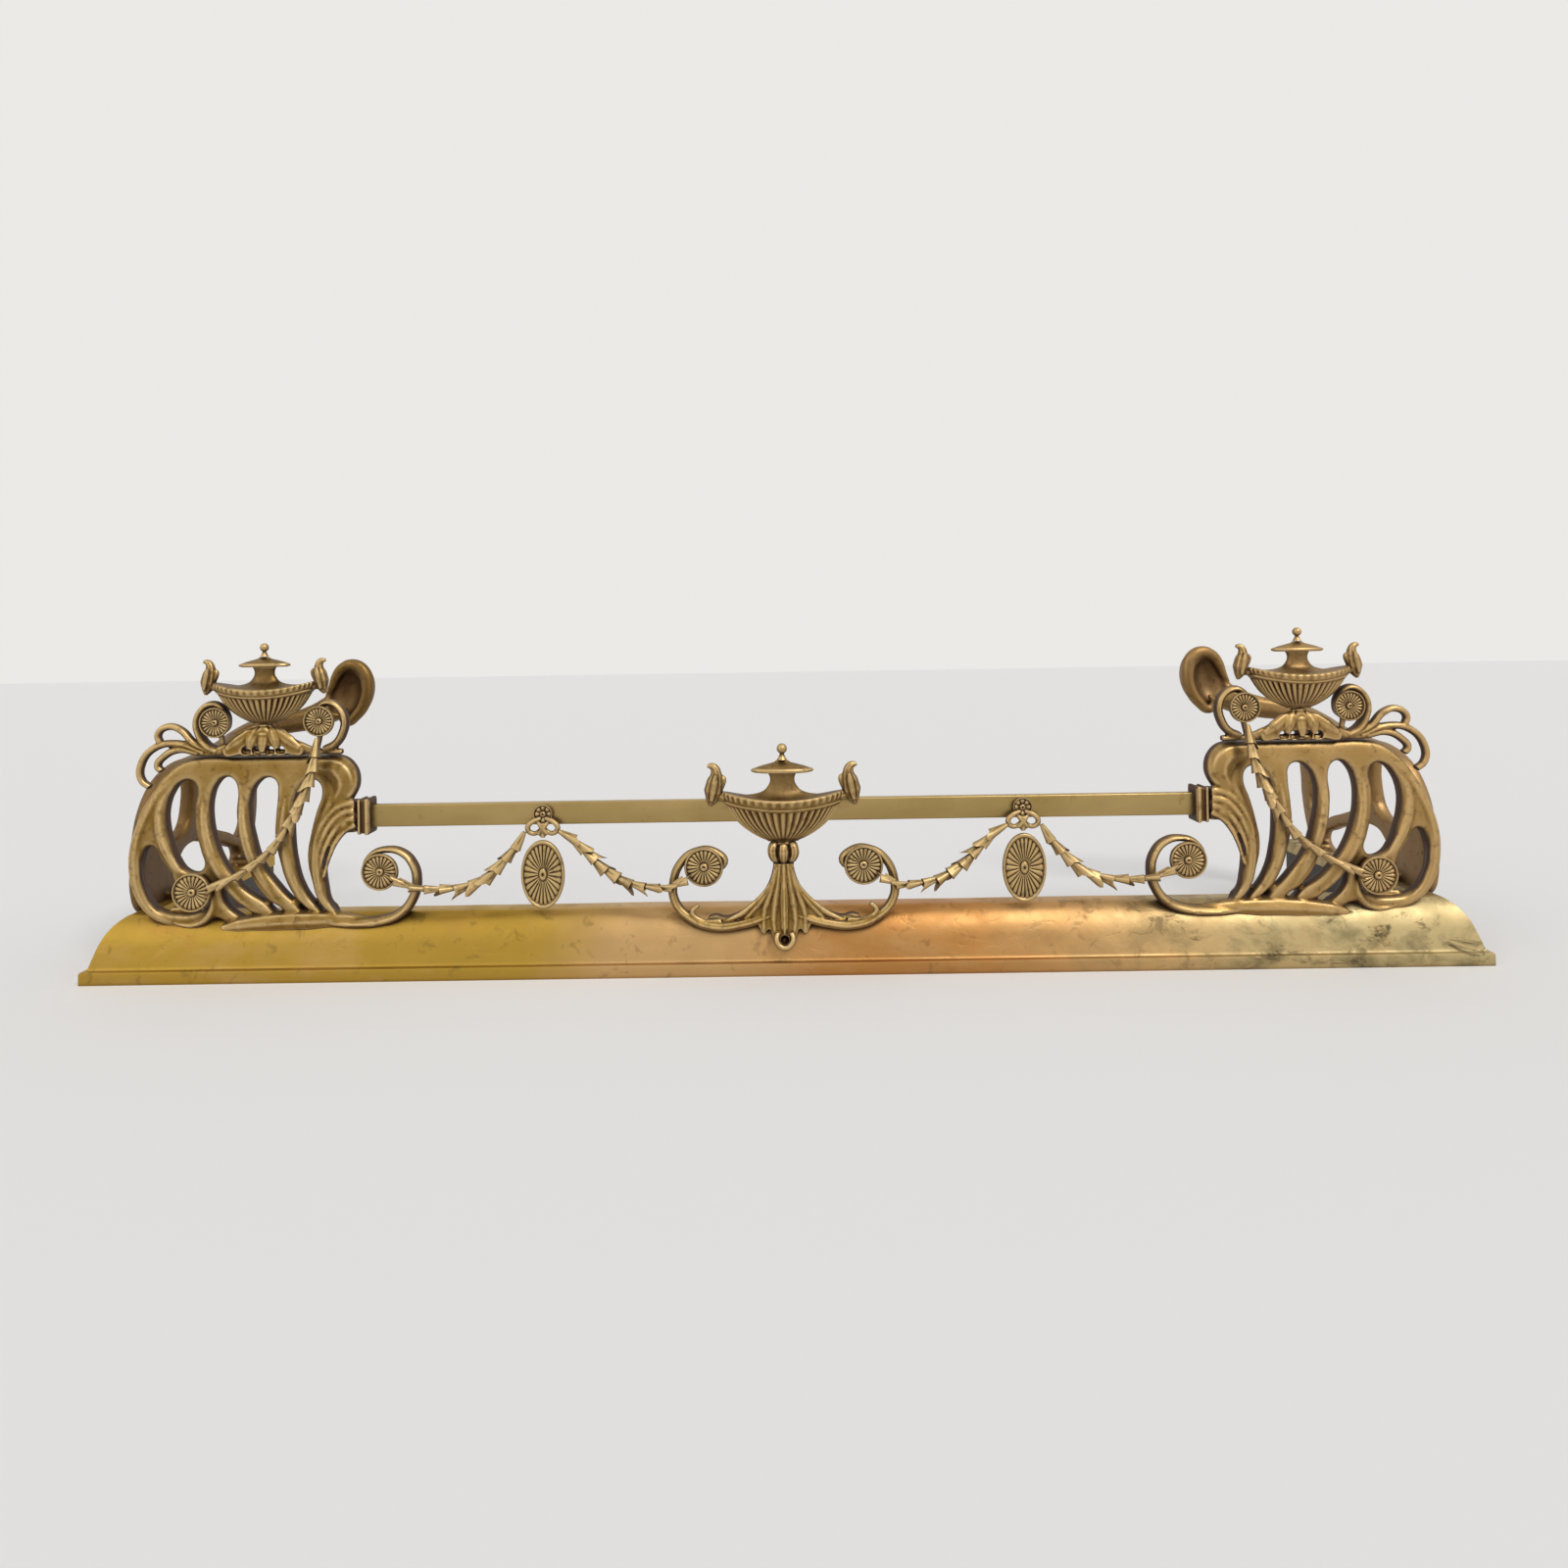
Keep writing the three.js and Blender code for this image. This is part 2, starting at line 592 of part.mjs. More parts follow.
const PATERA = { x: KNOT_X, z: 96, across: 21.5, up: 34, back: 26 };

function patera() {
  const profile = [
    [0, 0], [0.96, 0], [1, 3], [0.94, 6], [0.8, 4.4], [0.3, 3.6], [0, 6.6],
  ];
  const geometry = new THREE.LatheGeometry(
    profile.map(([r, h]) => new THREE.Vector2(r, h)),
    20,
  );
  return geometry
    .rotateX(Math.PI)
    .scale(PATERA.across, 1, PATERA.up)
    .translate(PATERA.x, FRONT + PATERA.back, PATERA.z);
}

// Round button with two bows above the patera.
function ribbonKnot() {
  const d = RAIL_D - RAIL_THICK / 2 - GAP;
  const button = frontLathe([[0, 0], [8, 0], [7, 5], [0, 7]], 12, KNOT_X, d, 155);
  const tails = [-1, 1].map((side) =>
    limb(
      [[KNOT_X, d - 4, 152], [KNOT_X + side * 9, d - 5, 148], [KNOT_X + side * 14, d - 5, 140],
        [KNOT_X + side * 5, d - 4, 136]],
      taper(3.6, 2.4),
      { steps: 6 },
    ),
  );
  const drop = limb([[KNOT_X, d - 3.6, 152], [KNOT_X, d - 3.6, 134]], 3.2, { steps: 2 });
  const behind = toSolid(box(60, 20, 80, KNOT_X, d + 10, 150));
  return join(button, ...tails, drop).subtract(behind);
}

const FRONT_SWAGS = [
  {
    name: "outer",
    husks: 9,
    points: [[376.5, 11, 95], [362, 8, 89], [345, 13, 86], [328, 18, 85], [311, 21, 87], [294, 22, 94],
      [278, 22, 108], [262, 22, 127], [256, 22, 137]],
  },
  {
    name: "inner",
    husks: 9,
    points: [[220, 22, 138], [210, 22, 132], [196, 22, 119], [181, 20, 105], [160, 16, 92], [141, 11, 87],
      [120, 5, 86], [107, 4, 88], [97.5, 7, 94]],
  },
];
const END_SWAG = [
  [457, 16, 233], [458, 13, 216], [462, 10, 196], [469, 8, 176], [480, 7, 155], [494, 7, 134], [515, 8, 115],
  [537, 8, 101], [559, 8, 92],
];

// ---------- centre mount ----------

const LEAF_EDGE = [
  [0, 112], [8, 109], [10, 98], [13, 87], [20, 74], [28, 65], [38, 59], [52, 56], [65, 50], [69, 43], [60, 43],
  [49, 48], [41, 45], [35, 41], [29, 46], [22, 52], [15, 49], [11, 41], [6, 33], [0, 29],
];
const leafBack = (z) => 8 + 17 * Math.min(1, Math.max(0, (z - 30) / 60)) ** 1.1;
// Scroll arm beside the leaf, [x, d, z].
const CENTRE_ARM = [
  [12, 16, 56], [40, 13, 48], [70, 12, 46], [92, 14, 54], [107, 16, 70], [108, 17, 90], [100, 17, 108],
  [86, 17, 118], [68, 17, 118], [58, 17, 106],
];

function centreMount() {
  const mirrored = LEAF_EDGE.slice(1, -1).reverse().map(([x, z]) => [-x, z]);
  const leaf = plate(outline([...LEAF_EDGE, ...mirrored], 52), [], 8, 0, 1.5);
  shift(leaf, (v) => {
    v.y += leafBack(v.z);
  });
  const ridge = limb([[0, 17, 108], [0, 14, 80], [0, 9, 55], [0, 7, 38]], taper(4, 6), { steps: 4 });
  const armLine = [...CENTRE_ARM, [CENTRE_ROSETTE.x, 20, CENTRE_ROSETTE.z]];
  const bothSides = [-1, 1].map((side) => ({
    arm: limb(armLine.map(([x, d, z]) => [side * x, d, z]), taper(6, 3.6), { steps: 16, sides: 5 }),
    at: { ...CENTRE_ROSETTE, x: side * CENTRE_ROSETTE.x },
  }));
  const arms = bothSides.map(({ arm }) => arm);
  const bosses = bothSides.map(({ at }) => bossAt(at, CENTRE_D, 9));
  const deepLug = box(LUG.across, 32, LUG.tall, 0, 32, LUG_TOP - LUG.tall / 2);
  const above = box(60, 40, 60, 0, 20, COLLAR.z - GAP + 30);
  const solid = join(leaf, ridge, ...arms, ...bosses, deepLug)
    .subtract(frontSeat)
    .subtract(frontHoles)
    .subtract(toSolid(above));
  return bothSides.reduce((rest, { at }) => rest.subtract(bossHole(at, CENTRE_D)), solid);
}

// Calyx of small leaves between the leaf and the centre urn.
const COLLAR_PROFILE = [[0, 0], [8, 0], [15, 7], [16, 12], [11, COLLAR.height], [0, COLLAR.height]];
const COLLAR_FLAT = 0.62; // its depth, as a share of its width

function calyxCollar() {
  const profile = COLLAR_PROFILE.map(([r, h]) => new THREE.Vector2(r, h));
  const geometry = new THREE.LatheGeometry(profile, 16)
    .rotateX(Math.PI / 2)
    .scale(1, COLLAR_FLAT, 1)
    .translate(CENTRE_URN.x, FRONT + CENTRE_URN.d, COLLAR.z);
  const rodHole = post(ROD_R + GAP, 40, CENTRE_URN.x, CENTRE_URN.d, COLLAR.z + 24, 8);
  return toSolid(geometry).subtract(toSolid(rodHole));
}

// ---------- rail ----------

const RAIL_END = 422; // of the bar, inside the ferrules
const FERRULE = { x: 416, long: 13, tall: 33, deep: 22 };

const rail = () => box(2 * RAIL_END, RAIL_THICK, RAIL_HEIGHT, 0, RAIL_D, RAIL_Z);
function ferrule() {
  const outer = toSolid(box(FERRULE.long, FERRULE.deep, FERRULE.tall, FERRULE.x, RAIL_D, RAIL_Z));
  const inner = toSolid(box(60, RAIL_THICK + 2 * GAP, RAIL_HEIGHT + 2 * GAP, FERRULE.x, RAIL_D, RAIL_Z));
  return outer.subtract(inner);
}

// ---------- assembly ----------

// Everything at one end, named for its side and built at the right-hand end.
function endPieces(side) {
  const group = new THREE.Group();
  group.add(
    named(`kerb_return_${side}`, toSolid(returnRun(SHEET_SECTION)).subtract(rightHoles), SHEET_BRASS),
    named(`under_frame_${side}`, toSolid(returnRun(CHANNEL_SECTION)).subtract(rightHoles), DARK_IRON),
    named(`corner_bracket_${side}`, cornerBracket(), DARK_IRON),
    named(`end_cage_${side}`, endCage(), CAST_BRASS),
    named(`side_casting_${side}`, sideCasting(), CAST_BRASS),
    named(`crest_${side}`, crest(), CAST_BRASS),
    named(`urn_bowl_${side}`, urnBowl(END_URN), URN_BRASS),
    named(`urn_lid_${side}`, urnLid(END_URN), URN_BRASS),
    named(`urn_finial_${side}`, urnFinial(END_URN), URN_BRASS),
    named(`rosette_lower_${side}`, rosette(LOWER_ROSETTE, CAGE_ROSETTE_D), ORNAMENT_BRASS),
    named(`rosette_volute_${side}`, rosette(VOLUTE_ROSETTE, VOLUTE_D), ORNAMENT_BRASS),
    named(`rosette_upper_inner_${side}`, rosette(INNER_ROSETTE, UPPER_D), ORNAMENT_BRASS),
    named(`rosette_upper_outer_${side}`, rosette(OUTER_ROSETTE, UPPER_D), ORNAMENT_BRASS),
    named(`rosette_centre_${side}`, rosette(CENTRE_ROSETTE, CENTRE_D), ORNAMENT_BRASS),
    named(`swag_end_${side}`, swag(END_SWAG, 10), ORNAMENT_BRASS),
    named(`patera_${side}`, patera(), ORNAMENT_BRASS),
    named(`ribbon_knot_${side}`, ribbonKnot(), ORNAMENT_BRASS),
    named(`rail_ferrule_${side}`, ferrule(), CAST_BRASS),
  );
  for (const { name, points, husks } of FRONT_SWAGS)
    group.add(named(`swag_${name}_${side}`, swag(points, husks), ORNAMENT_BRASS));
  CAGE_SCREW_X.forEach((x, i) => group.add(named(`cage_screw_${side}_${i + 1}`, screw(x, SCREW_D), DARK_IRON)));
  SIDE_SCREW_D.forEach((d, i) =>
    group.add(named(`side_screw_${side}_${i + 1}`, screw(HALF - SCREW_D, d), DARK_IRON)),
  );
  return group;
}

const rightEnd = endPieces("right");
const leftEnd = endPieces("left");
leftEnd.scale.x = -1;

const fender = new THREE.Group();
fender.add(
  named("kerb_front", toSolid(frontRun(SHEET_SECTION)).subtract(frontHoles), SHEET_BRASS),
  named("under_frame_front", toSolid(frontRun(CHANNEL_SECTION)).subtract(frontHoles), DARK_IRON),
  named("rail", rail(), RAIL_BRASS),
  named("centre_mount", centreMount(), CAST_BRASS),
  named("calyx_collar", calyxCollar(), CAST_BRASS),
  named("urn_bowl_centre", urnBowl(CENTRE_URN), URN_BRASS),
  named("urn_lid_centre", urnLid(CENTRE_URN), URN_BRASS),
  named("urn_finial_centre", urnFinial(CENTRE_URN), URN_BRASS),
  named("centre_screw", screw(0, SCREW_D), DARK_IRON),
  leftEnd,
  rightEnd,
);

export default fender;
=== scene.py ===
import math
from collections import namedtuple

import bpy
from bpy.props import FloatProperty, FloatVectorProperty, IntProperty, PointerProperty
from mathutils import Euler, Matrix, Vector, noise


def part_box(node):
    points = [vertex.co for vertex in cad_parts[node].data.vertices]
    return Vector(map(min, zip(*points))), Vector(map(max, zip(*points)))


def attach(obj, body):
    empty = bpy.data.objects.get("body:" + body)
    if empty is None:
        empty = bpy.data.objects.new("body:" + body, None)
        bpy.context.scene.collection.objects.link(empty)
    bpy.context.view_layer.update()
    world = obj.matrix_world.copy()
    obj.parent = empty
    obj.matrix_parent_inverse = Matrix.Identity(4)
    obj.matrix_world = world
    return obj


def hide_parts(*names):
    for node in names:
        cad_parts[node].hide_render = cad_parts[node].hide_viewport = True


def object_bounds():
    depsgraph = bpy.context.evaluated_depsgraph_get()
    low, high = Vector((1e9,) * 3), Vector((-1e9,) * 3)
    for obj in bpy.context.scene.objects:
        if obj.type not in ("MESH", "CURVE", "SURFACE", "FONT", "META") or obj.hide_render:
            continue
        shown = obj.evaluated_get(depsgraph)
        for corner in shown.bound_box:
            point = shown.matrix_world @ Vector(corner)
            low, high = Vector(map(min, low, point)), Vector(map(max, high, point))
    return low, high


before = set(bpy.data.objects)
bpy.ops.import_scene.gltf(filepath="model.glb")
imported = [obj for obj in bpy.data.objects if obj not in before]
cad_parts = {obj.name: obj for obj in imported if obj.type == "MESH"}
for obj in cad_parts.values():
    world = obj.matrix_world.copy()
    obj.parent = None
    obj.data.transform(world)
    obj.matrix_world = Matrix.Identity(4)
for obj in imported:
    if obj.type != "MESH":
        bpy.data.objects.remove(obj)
CAD_LOW, CAD_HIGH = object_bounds()

bl_info = {
    "name": "Brass hearth fender",
    "version": (1, 0, 0),
    "blender": (4, 5, 0),
    "location": "3D View > Sidebar > Fender",
    "description": "Models a brass fire fender piece by piece around its packed frame",
    "category": "Add Mesh",
}

# Shapes below are in millimetres: X from the middle, D behind the kerb's front edge, Z above the floor.
# Pieces of an end are made at the right-hand end and mirrored for the left.
MM = 0.001
FRONT = CAD_LOW.y
HALF = CAD_HIGH.x / MM
DEPTH = (CAD_HIGH.y - CAD_LOW.y) / MM
GAP = 0.3
SIDES = ("left", "right")


def at(x, d, z):
    """Point of the fender in metres."""
    return Vector((x * MM, FRONT + d * MM, z * MM))


# ---------- settings ----------


def colour(name, description, default):
    return FloatVectorProperty(
        name=name, description=description, default=default, subtype="COLOR", size=3, min=0, max=1
    )


def length(name, description, millimetres):
    return FloatProperty(name=name, description=description, default=millimetres * MM, unit="LENGTH", min=0)


class FenderSizes(bpy.types.PropertyGroup):
    sheet: length("Sheet", "Thickness of the kerb's sheet brass", 1.6)
    plate: length("Casting", "Thickness of the openwork castings", 17)
    rounding: length("Rounding", "Radius of the openwork's edges", 5.5)
    dent: length("Dents", "How far the sheet brass waves in and out", 0.5)
    grain: length("Grain", "Size of the finest form that a casting holds", 1.3)
    fine_grain: length("Fine grain", "The same for the small castings", 0.8)
    flutes: IntProperty(name="Flutes", description="Flutes round an urn", default=44, min=8)
    petals: IntProperty(name="Petals", description="Petals of a rosette", default=22, min=6)
    rays: IntProperty(name="Rays", description="Rays of an oval patera", default=26, min=8)


class FenderColours(bpy.types.PropertyGroup):
    gold: colour("Gold", "Clean sheet brass at the left of the kerb", (0.44, 0.27, 0.04))
    copper: colour("Copper", "Coppery tarnish right of the middle of the kerb", (0.46, 0.215, 0.06))
    sand: colour("Sand", "Pale brass along the middle and on the right-hand castings", (0.55, 0.34, 0.14))
    dull: colour("Dull", "Dull pale brass at the right of the kerb", (0.50, 0.39, 0.19))
    moss: colour("Moss", "Greenish grey tarnish at the right of the kerb", (0.20, 0.16, 0.075))
    pit: colour("Pit", "Dark pits and stains", (0.05, 0.035, 0.02))
    # Ridge: pale brass painted as a highlight on the castings' convex ridges, and also mixed in at random
    # as pale mottle and clouds.
    ridge: colour("Ridge", "Cast brass where hands have rubbed it", (0.60, 0.42, 0.19))
    body: colour("Body", "Aged cast brass", (0.27, 0.155, 0.03))
    side: colour("Side", "Browner brass of the side castings", (0.17, 0.095, 0.038))
    # Hollow: dark brown painted as shade in creases, tight corners and faces turned sideways, and also used
    # for small random dark specks.
    hollow: colour("Hollow", "Cast brass in its hollows", (0.045, 0.016, 0.007))
    urn: colour("Urn", "Olive brass of the urns", (0.20, 0.115, 0.03))
    husk: colour("Ornament", "Greenish brass of the applied ornaments", (0.26, 0.19, 0.065))
    bar: colour("Bar", "Satin brass of the rail", (0.36, 0.25, 0.085))
    iron: colour("Iron", "Dark iron of the frame", (0.05, 0.045, 0.04))


# ---------- modelling helpers ----------


def deselect():
    if bpy.context.object and bpy.context.object.mode != "OBJECT":
        bpy.ops.object.mode_set(mode="OBJECT")
    bpy.ops.object.select_all(action="DESELECT")


def select(*pieces):
    deselect()
    for piece in pieces:
        piece.select_set(True)
    bpy.context.view_layer.objects.active = pieces[0]
    return pieces[0]


def modify(piece, kind, **settings):
    """Adds a modifier and applies it."""
    select(piece)
    bpy.ops.object.modifier_add(type=kind)
    modifier = piece.modifiers[-1]
    for setting, value in settings.items():
        setattr(modifier, setting, value)
    bpy.ops.object.modifier_apply(modifier=modifier.name)
    return piece


def edit(piece, operator, **settings):
    """Runs an edit-mode operator on the piece's whole mesh."""
    select(piece)
    bpy.ops.object.mode_set(mode="EDIT")
    bpy.ops.mesh.select_all(action="SELECT")
    operator(**settings)
    bpy.ops.object.mode_set(mode="OBJECT")
    return piece


def clean(piece, merge=1e-6):
    """Merges doubles, drops loose edges and turns every face outwards."""
    select(piece)
    bpy.ops.object.mode_set(mode="EDIT")
    bpy.ops.mesh.select_all(action="SELECT")
    bpy.ops.mesh.remove_doubles(threshold=merge)
    bpy.ops.mesh.dissolve_degenerate(threshold=merge)
    bpy.ops.mesh.delete_loose(use_verts=True, use_edges=True, use_faces=False)
    bpy.ops.mesh.select_all(action="SELECT")
    bpy.ops.mesh.normals_make_consistent(inside=False)
    bpy.ops.object.mode_set(mode="OBJECT")
    return piece


def shape(piece, move):
    """Moves each vertex to where the function says."""
    for vertex in piece.data.vertices:
        vertex.co = move(vertex.co)
    piece.data.update()
    return piece


def join(*pieces):
    select(*pieces)
    bpy.ops.object.join()
    return pieces[0]


def settle(piece):
    """Applies the piece's place, turn and size, so that they are in its mesh."""
    select(piece)
    bpy.ops.object.transform_apply(location=True, rotation=True, scale=True)
    return piece


def to_mesh(piece):
    select(piece)
    bpy.ops.object.convert(target="MESH")
    return settle(bpy.context.object)


def add_knots(spline, points):
    spline.bezier_points.add(len(points) - len(spline.bezier_points))
    for knot, point in zip(spline.bezier_points, points):
        knot.co = point
        knot.handle_left_type = "AUTO"
        knot.handle_right_type = "AUTO"


def tapered(start, end):
    """Radius along a limb that goes from its start to its end."""
    return lambda t: start + (end - start) * t


def swelling(ends, middle):
    """Radius along a limb that is the same at both ends and another in the middle."""
    return lambda t: ends + (middle - ends) * math.sin(math.pi * t)


def limb(points, radius, deep=1.0, smooth=6):
    """Round limb through (x, d, z) points; deep is its size from front to back, as a share of its width."""
    deselect()
    bpy.ops.curve.primitive_bezier_curve_add()
    line = bpy.context.object
    middle = sum(d for _, d, _ in points) / len(points)
    add_knots(line.data.splines[0], [at(x, middle + (d - middle) / deep, z) for x, d, z in points])
    last = max(len(points) - 1, 1)
    for i, knot in enumerate(line.data.splines[0].bezier_points):
        knot.radius = radius(i / last) if callable(radius) else radius
    line.data.resolution_u = smooth
    line.data.bevel_depth = MM
    line.data.bevel_resolution = 2
    line.data.use_fill_caps = True
    piece = clean(to_mesh(line))
    if deep != 1.0:
        edit(piece, bpy.ops.transform.resize, value=(1, deep, 1), center_override=at(0, middle, 0))
    return piece


def plate(outlines, thick, rounded):
    """Plate in the XZ plane at Y = 0, from closed (x, z) outlines: its edge and then its openings."""
    deselect()
    bpy.ops.curve.primitive_bezier_circle_add(rotation=(math.pi / 2, 0, 0))
    sheet = bpy.context.object
    sheet.data.dimensions = "2D"
    sheet.data.fill_mode = "BOTH"
    sheet.data.splines.clear()
    for points in outlines:
        spline = sheet.data.splines.new("BEZIER")
        add_knots(spline, [Vector((x * MM, z * MM, 0)) for x, z in points])
        spline.use_cyclic_u = True
    sheet.data.resolution_u = 6
    sheet.data.extrude = (thick / 2 - rounded) * MM
    sheet.data.bevel_depth = rounded * MM
    sheet.data.bevel_resolution = 2
    sheet.data.offset = -rounded * MM
    return clean(to_mesh(sheet), 2e-6)


def ball(across, deep, up, x, d, z, turn=(0, 0, 0)):
    """Ellipsoid, as a form inside a casting."""
    deselect()
    bpy.ops.mesh.primitive_uv_sphere_add(segments=32, ring_count=20, location=at(x, d, z), rotation=turn)
    piece = bpy.context.object
    piece.scale = (across * MM, deep * MM, up * MM)
    return settle(piece)


def block(across, deep, up, x, d, z, bevel=0.0):
    deselect()
    bpy.ops.mesh.primitive_cube_add(size=1, location=at(x, d, z))
    piece = bpy.context.object
    piece.scale = (across * MM, deep * MM, up * MM)
    settle(piece)
    if bevel:
        modify(piece, "BEVEL", width=bevel * MM, segments=3, limit_method="ANGLE")
    return piece


def turned(profile, steps):
    """Turned solid round the Z axis, from (radius, height) points that start and end on it."""
    deselect()
    bpy.ops.mesh.primitive_circle_add(vertices=len(profile), fill_type="NOTHING")
    piece = bpy.context.object
    for vertex, (radius, height) in zip(piece.data.vertices, profile):
        vertex.co = (radius * MM, 0, height * MM)
    edit(piece, bpy.ops.mesh.spin, steps=steps, angle=2 * math.pi, center=(0, 0, 0), axis=(0, 0, 1))
    return clean(piece)


def between(a, b, c, e, t):
    """Catmull-Rom curve from b to c, with a before them and e after them."""
    return 0.5 * (2 * b + (c - a) * t + (2 * a - 5 * b + 4 * c - e) * t**2 + (3 * b - a - 3 * c + e) * t**3)


def rounded_line(points, steps=4):
    """Smooth line through the points, each stretch in the given number of steps."""
    line = []
    for i in range(len(points) - 1):
        near = (points[max(i - 1, 0)], points[i], points[i + 1], points[min(i + 2, len(points) - 1)])
        for k in range(steps):
            line.append(tuple(between(*values, k / steps) for values in zip(*near)))
    line.append(tuple(points[-1]))
    return line


def cast(parts, grain, passes=6):
    """Fuses the parts into one casting with soft fillets."""
    piece = join(*parts)
    modify(piece, "REMESH", mode="VOXEL", voxel_size=grain)
    modify(piece, "SMOOTH", factor=0.5, iterations=passes)
    return piece


def cut(piece, *cutters):
    for cutter in cutters:
        modify(piece, "BOOLEAN", operation="DIFFERENCE", object=cutter, solver="EXACT")
    return piece


def remove(*pieces):
    select(*pieces)
    bpy.ops.object.delete()


def copy(piece):
    select(piece)
    bpy.ops.object.duplicate()
    return bpy.context.object


def mirrored(piece):
    """Copy of the piece for the other end."""
    twin = copy(piece)
    shape(twin, lambda p: Vector((-p.x, p.y, p.z)))
    return edit(twin, bpy.ops.mesh.normals_make_consistent, inside=False)


def hand_in(piece, node, slot, angle=40, look=None):
    """Names the finished piece after its node, gives it its finish and sets it in the frame."""
    select(piece)
    bpy.ops.object.shade_smooth_by_angle(angle=math.radians(angle))
    piece.name = ("slotted_" if slot == "iron" else "brass_") + node
    piece.data.name = piece.name
    piece.data.materials.clear()
    piece.data.materials.append(finish(look or slot))
    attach(piece, "root")
    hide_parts(node)


def hand_in_pair(piece, stem, slot, angle=40, look=None):
    """The same for a piece at each end, the left one mirrored."""
    twin = mirrored(piece)
    for side, each in zip(SIDES, (twin, piece)):
        hand_in(each, f"{stem}_{side}", slot, angle, look)


# ---------- materials ----------


class Value:
    """Socket of a material; arithmetic on it adds Math nodes."""

    def __init__(self, finish, socket):
        self.finish = finish
        self.socket = socket

    def _math(self, operation, first, second):
        return self.finish.add("ShaderNodeMath", {"operation": operation}, {0: first, 1: second})

    def __add__(self, other):
        return self._math("ADD", self, other)

    def __sub__(self, other):
        return self._math("SUBTRACT", self, other)

    def __rsub__(self, other):
        return self._math("SUBTRACT", other, self)

    def __mul__(self, other):
        return self._math("MULTIPLY", self, other)

    __radd__ = __add__
    __rmul__ = __mul__


class Finish:
    """Procedural material with one Principled shader."""

    def __init__(self, name):
        self.material = bpy.data.materials.new(name)
        self.material.use_nodes = True
        self.nodes = self.material.node_tree.nodes
        self.links = self.material.node_tree.links
        self.shader = self.nodes["Principled BSDF"]
        self.place = self.add("ShaderNodeTexCoord", {}, {}, "Object")

    def put(self, socket, value):
        if isinstance(value, Value):
            self.links.new(value.socket, socket)
        elif hasattr(socket.default_value, "__len__") and len(socket.default_value) == 4:
            socket.default_value = (*tuple(value)[:3], 1)
        else:
            socket.default_value = value

    def add(self, kind, settings, inputs, output=0):
        """One node: its settings first, then its sockets' values or links; gives one output."""
        node = self.nodes.new(kind)
        for setting, value in settings.items():
            if setting == "stops":
                while len(node.color_ramp.elements) < len(value):
                    node.color_ramp.elements.new(1)
                for element, (position, shade) in zip(node.color_ramp.elements, value):
                    element.position = position
                    element.color = (shade,) * 3 + (1,) if isinstance(shade, (int, float)) else (*shade, 1)
            else:
                setattr(node, setting, value)
        for socket, value in inputs.items():
            self.put(node.inputs[socket], value)
        return Value(self, node.outputs[output])

    def noise(self, scale, detail=3.0, rough=0.55, stretch=(1, 1, 1), warp=0.0):
        """Smooth noise from 0 to 1 over the piece."""
        place = self.add("ShaderNodeMapping", {}, {"Vector": self.place, "Scale": stretch})
        inputs = {"Vector": place, "Scale": scale, "Detail": detail, "Roughness": rough, "Distortion": warp}
        return self.add("ShaderNodeTexNoise", {}, inputs)

    def ramp(self, value, *stops):
        return self.add("ShaderNodeValToRGB", {"stops": stops}, {"Fac": value})

    def mix(self, first, second, factor):
        """First colour turning to the second as the factor goes from 0 to 1."""
        return self.add("ShaderNodeMix", {"data_type": "RGBA"}, {"Factor": factor, 6: first, 7: second}, 2)

    def axis(self, name):
        return self.add("ShaderNodeSeparateXYZ", {}, {0: self.place}, name)

    def ridges(self, low, high):
        """1 on the piece's ridges and 0 in its hollows."""
        sharp = self.add("ShaderNodeNewGeometry", {}, {}, "Pointiness")
        return self.ramp(sharp, (low, 0.0), (high, 1.0))

    def occlusion(self, distance):
        """1 in the open and 0 deep in a corner."""
        return self.add("ShaderNodeAmbientOcclusion", {"samples": 8}, {"Distance": distance}, "AO")

    def facing(self):
        """How far a face looks to the front or back: 1 straight that way, 0 sideways, as in an opening."""
        normal = self.add("ShaderNodeNewGeometry", {}, {}, "Normal")
        room = (0, -1, 0.35)
        towards = self.add("ShaderNodeVectorMath", {"operation": "DOT_PRODUCT"}, {0: normal, 1: room}, 1)
        return self.add("ShaderNodeMath", {"operation": "ABSOLUTE"}, {0: towards})

    def surface(self, colour, metallic, roughness, height=None, strength=0.3, reach=0.001):
        """Sets what the shader shows; height is a bump in shares of reach."""
        self.put(self.shader.inputs["Base Color"], colour)
        self.put(self.shader.inputs["Metallic"], metallic)
        self.put(self.shader.inputs["Roughness"], roughness)
        if height is not None:
            inputs = {"Strength": strength, "Distance": reach, "Height": height}
            self.put(self.shader.inputs["Normal"], self.add("ShaderNodeBump", {}, inputs))
        return self.material


def colours():
    return bpy.context.scene.fender_colours


def sizes():
    return bpy.context.scene.fender_sizes


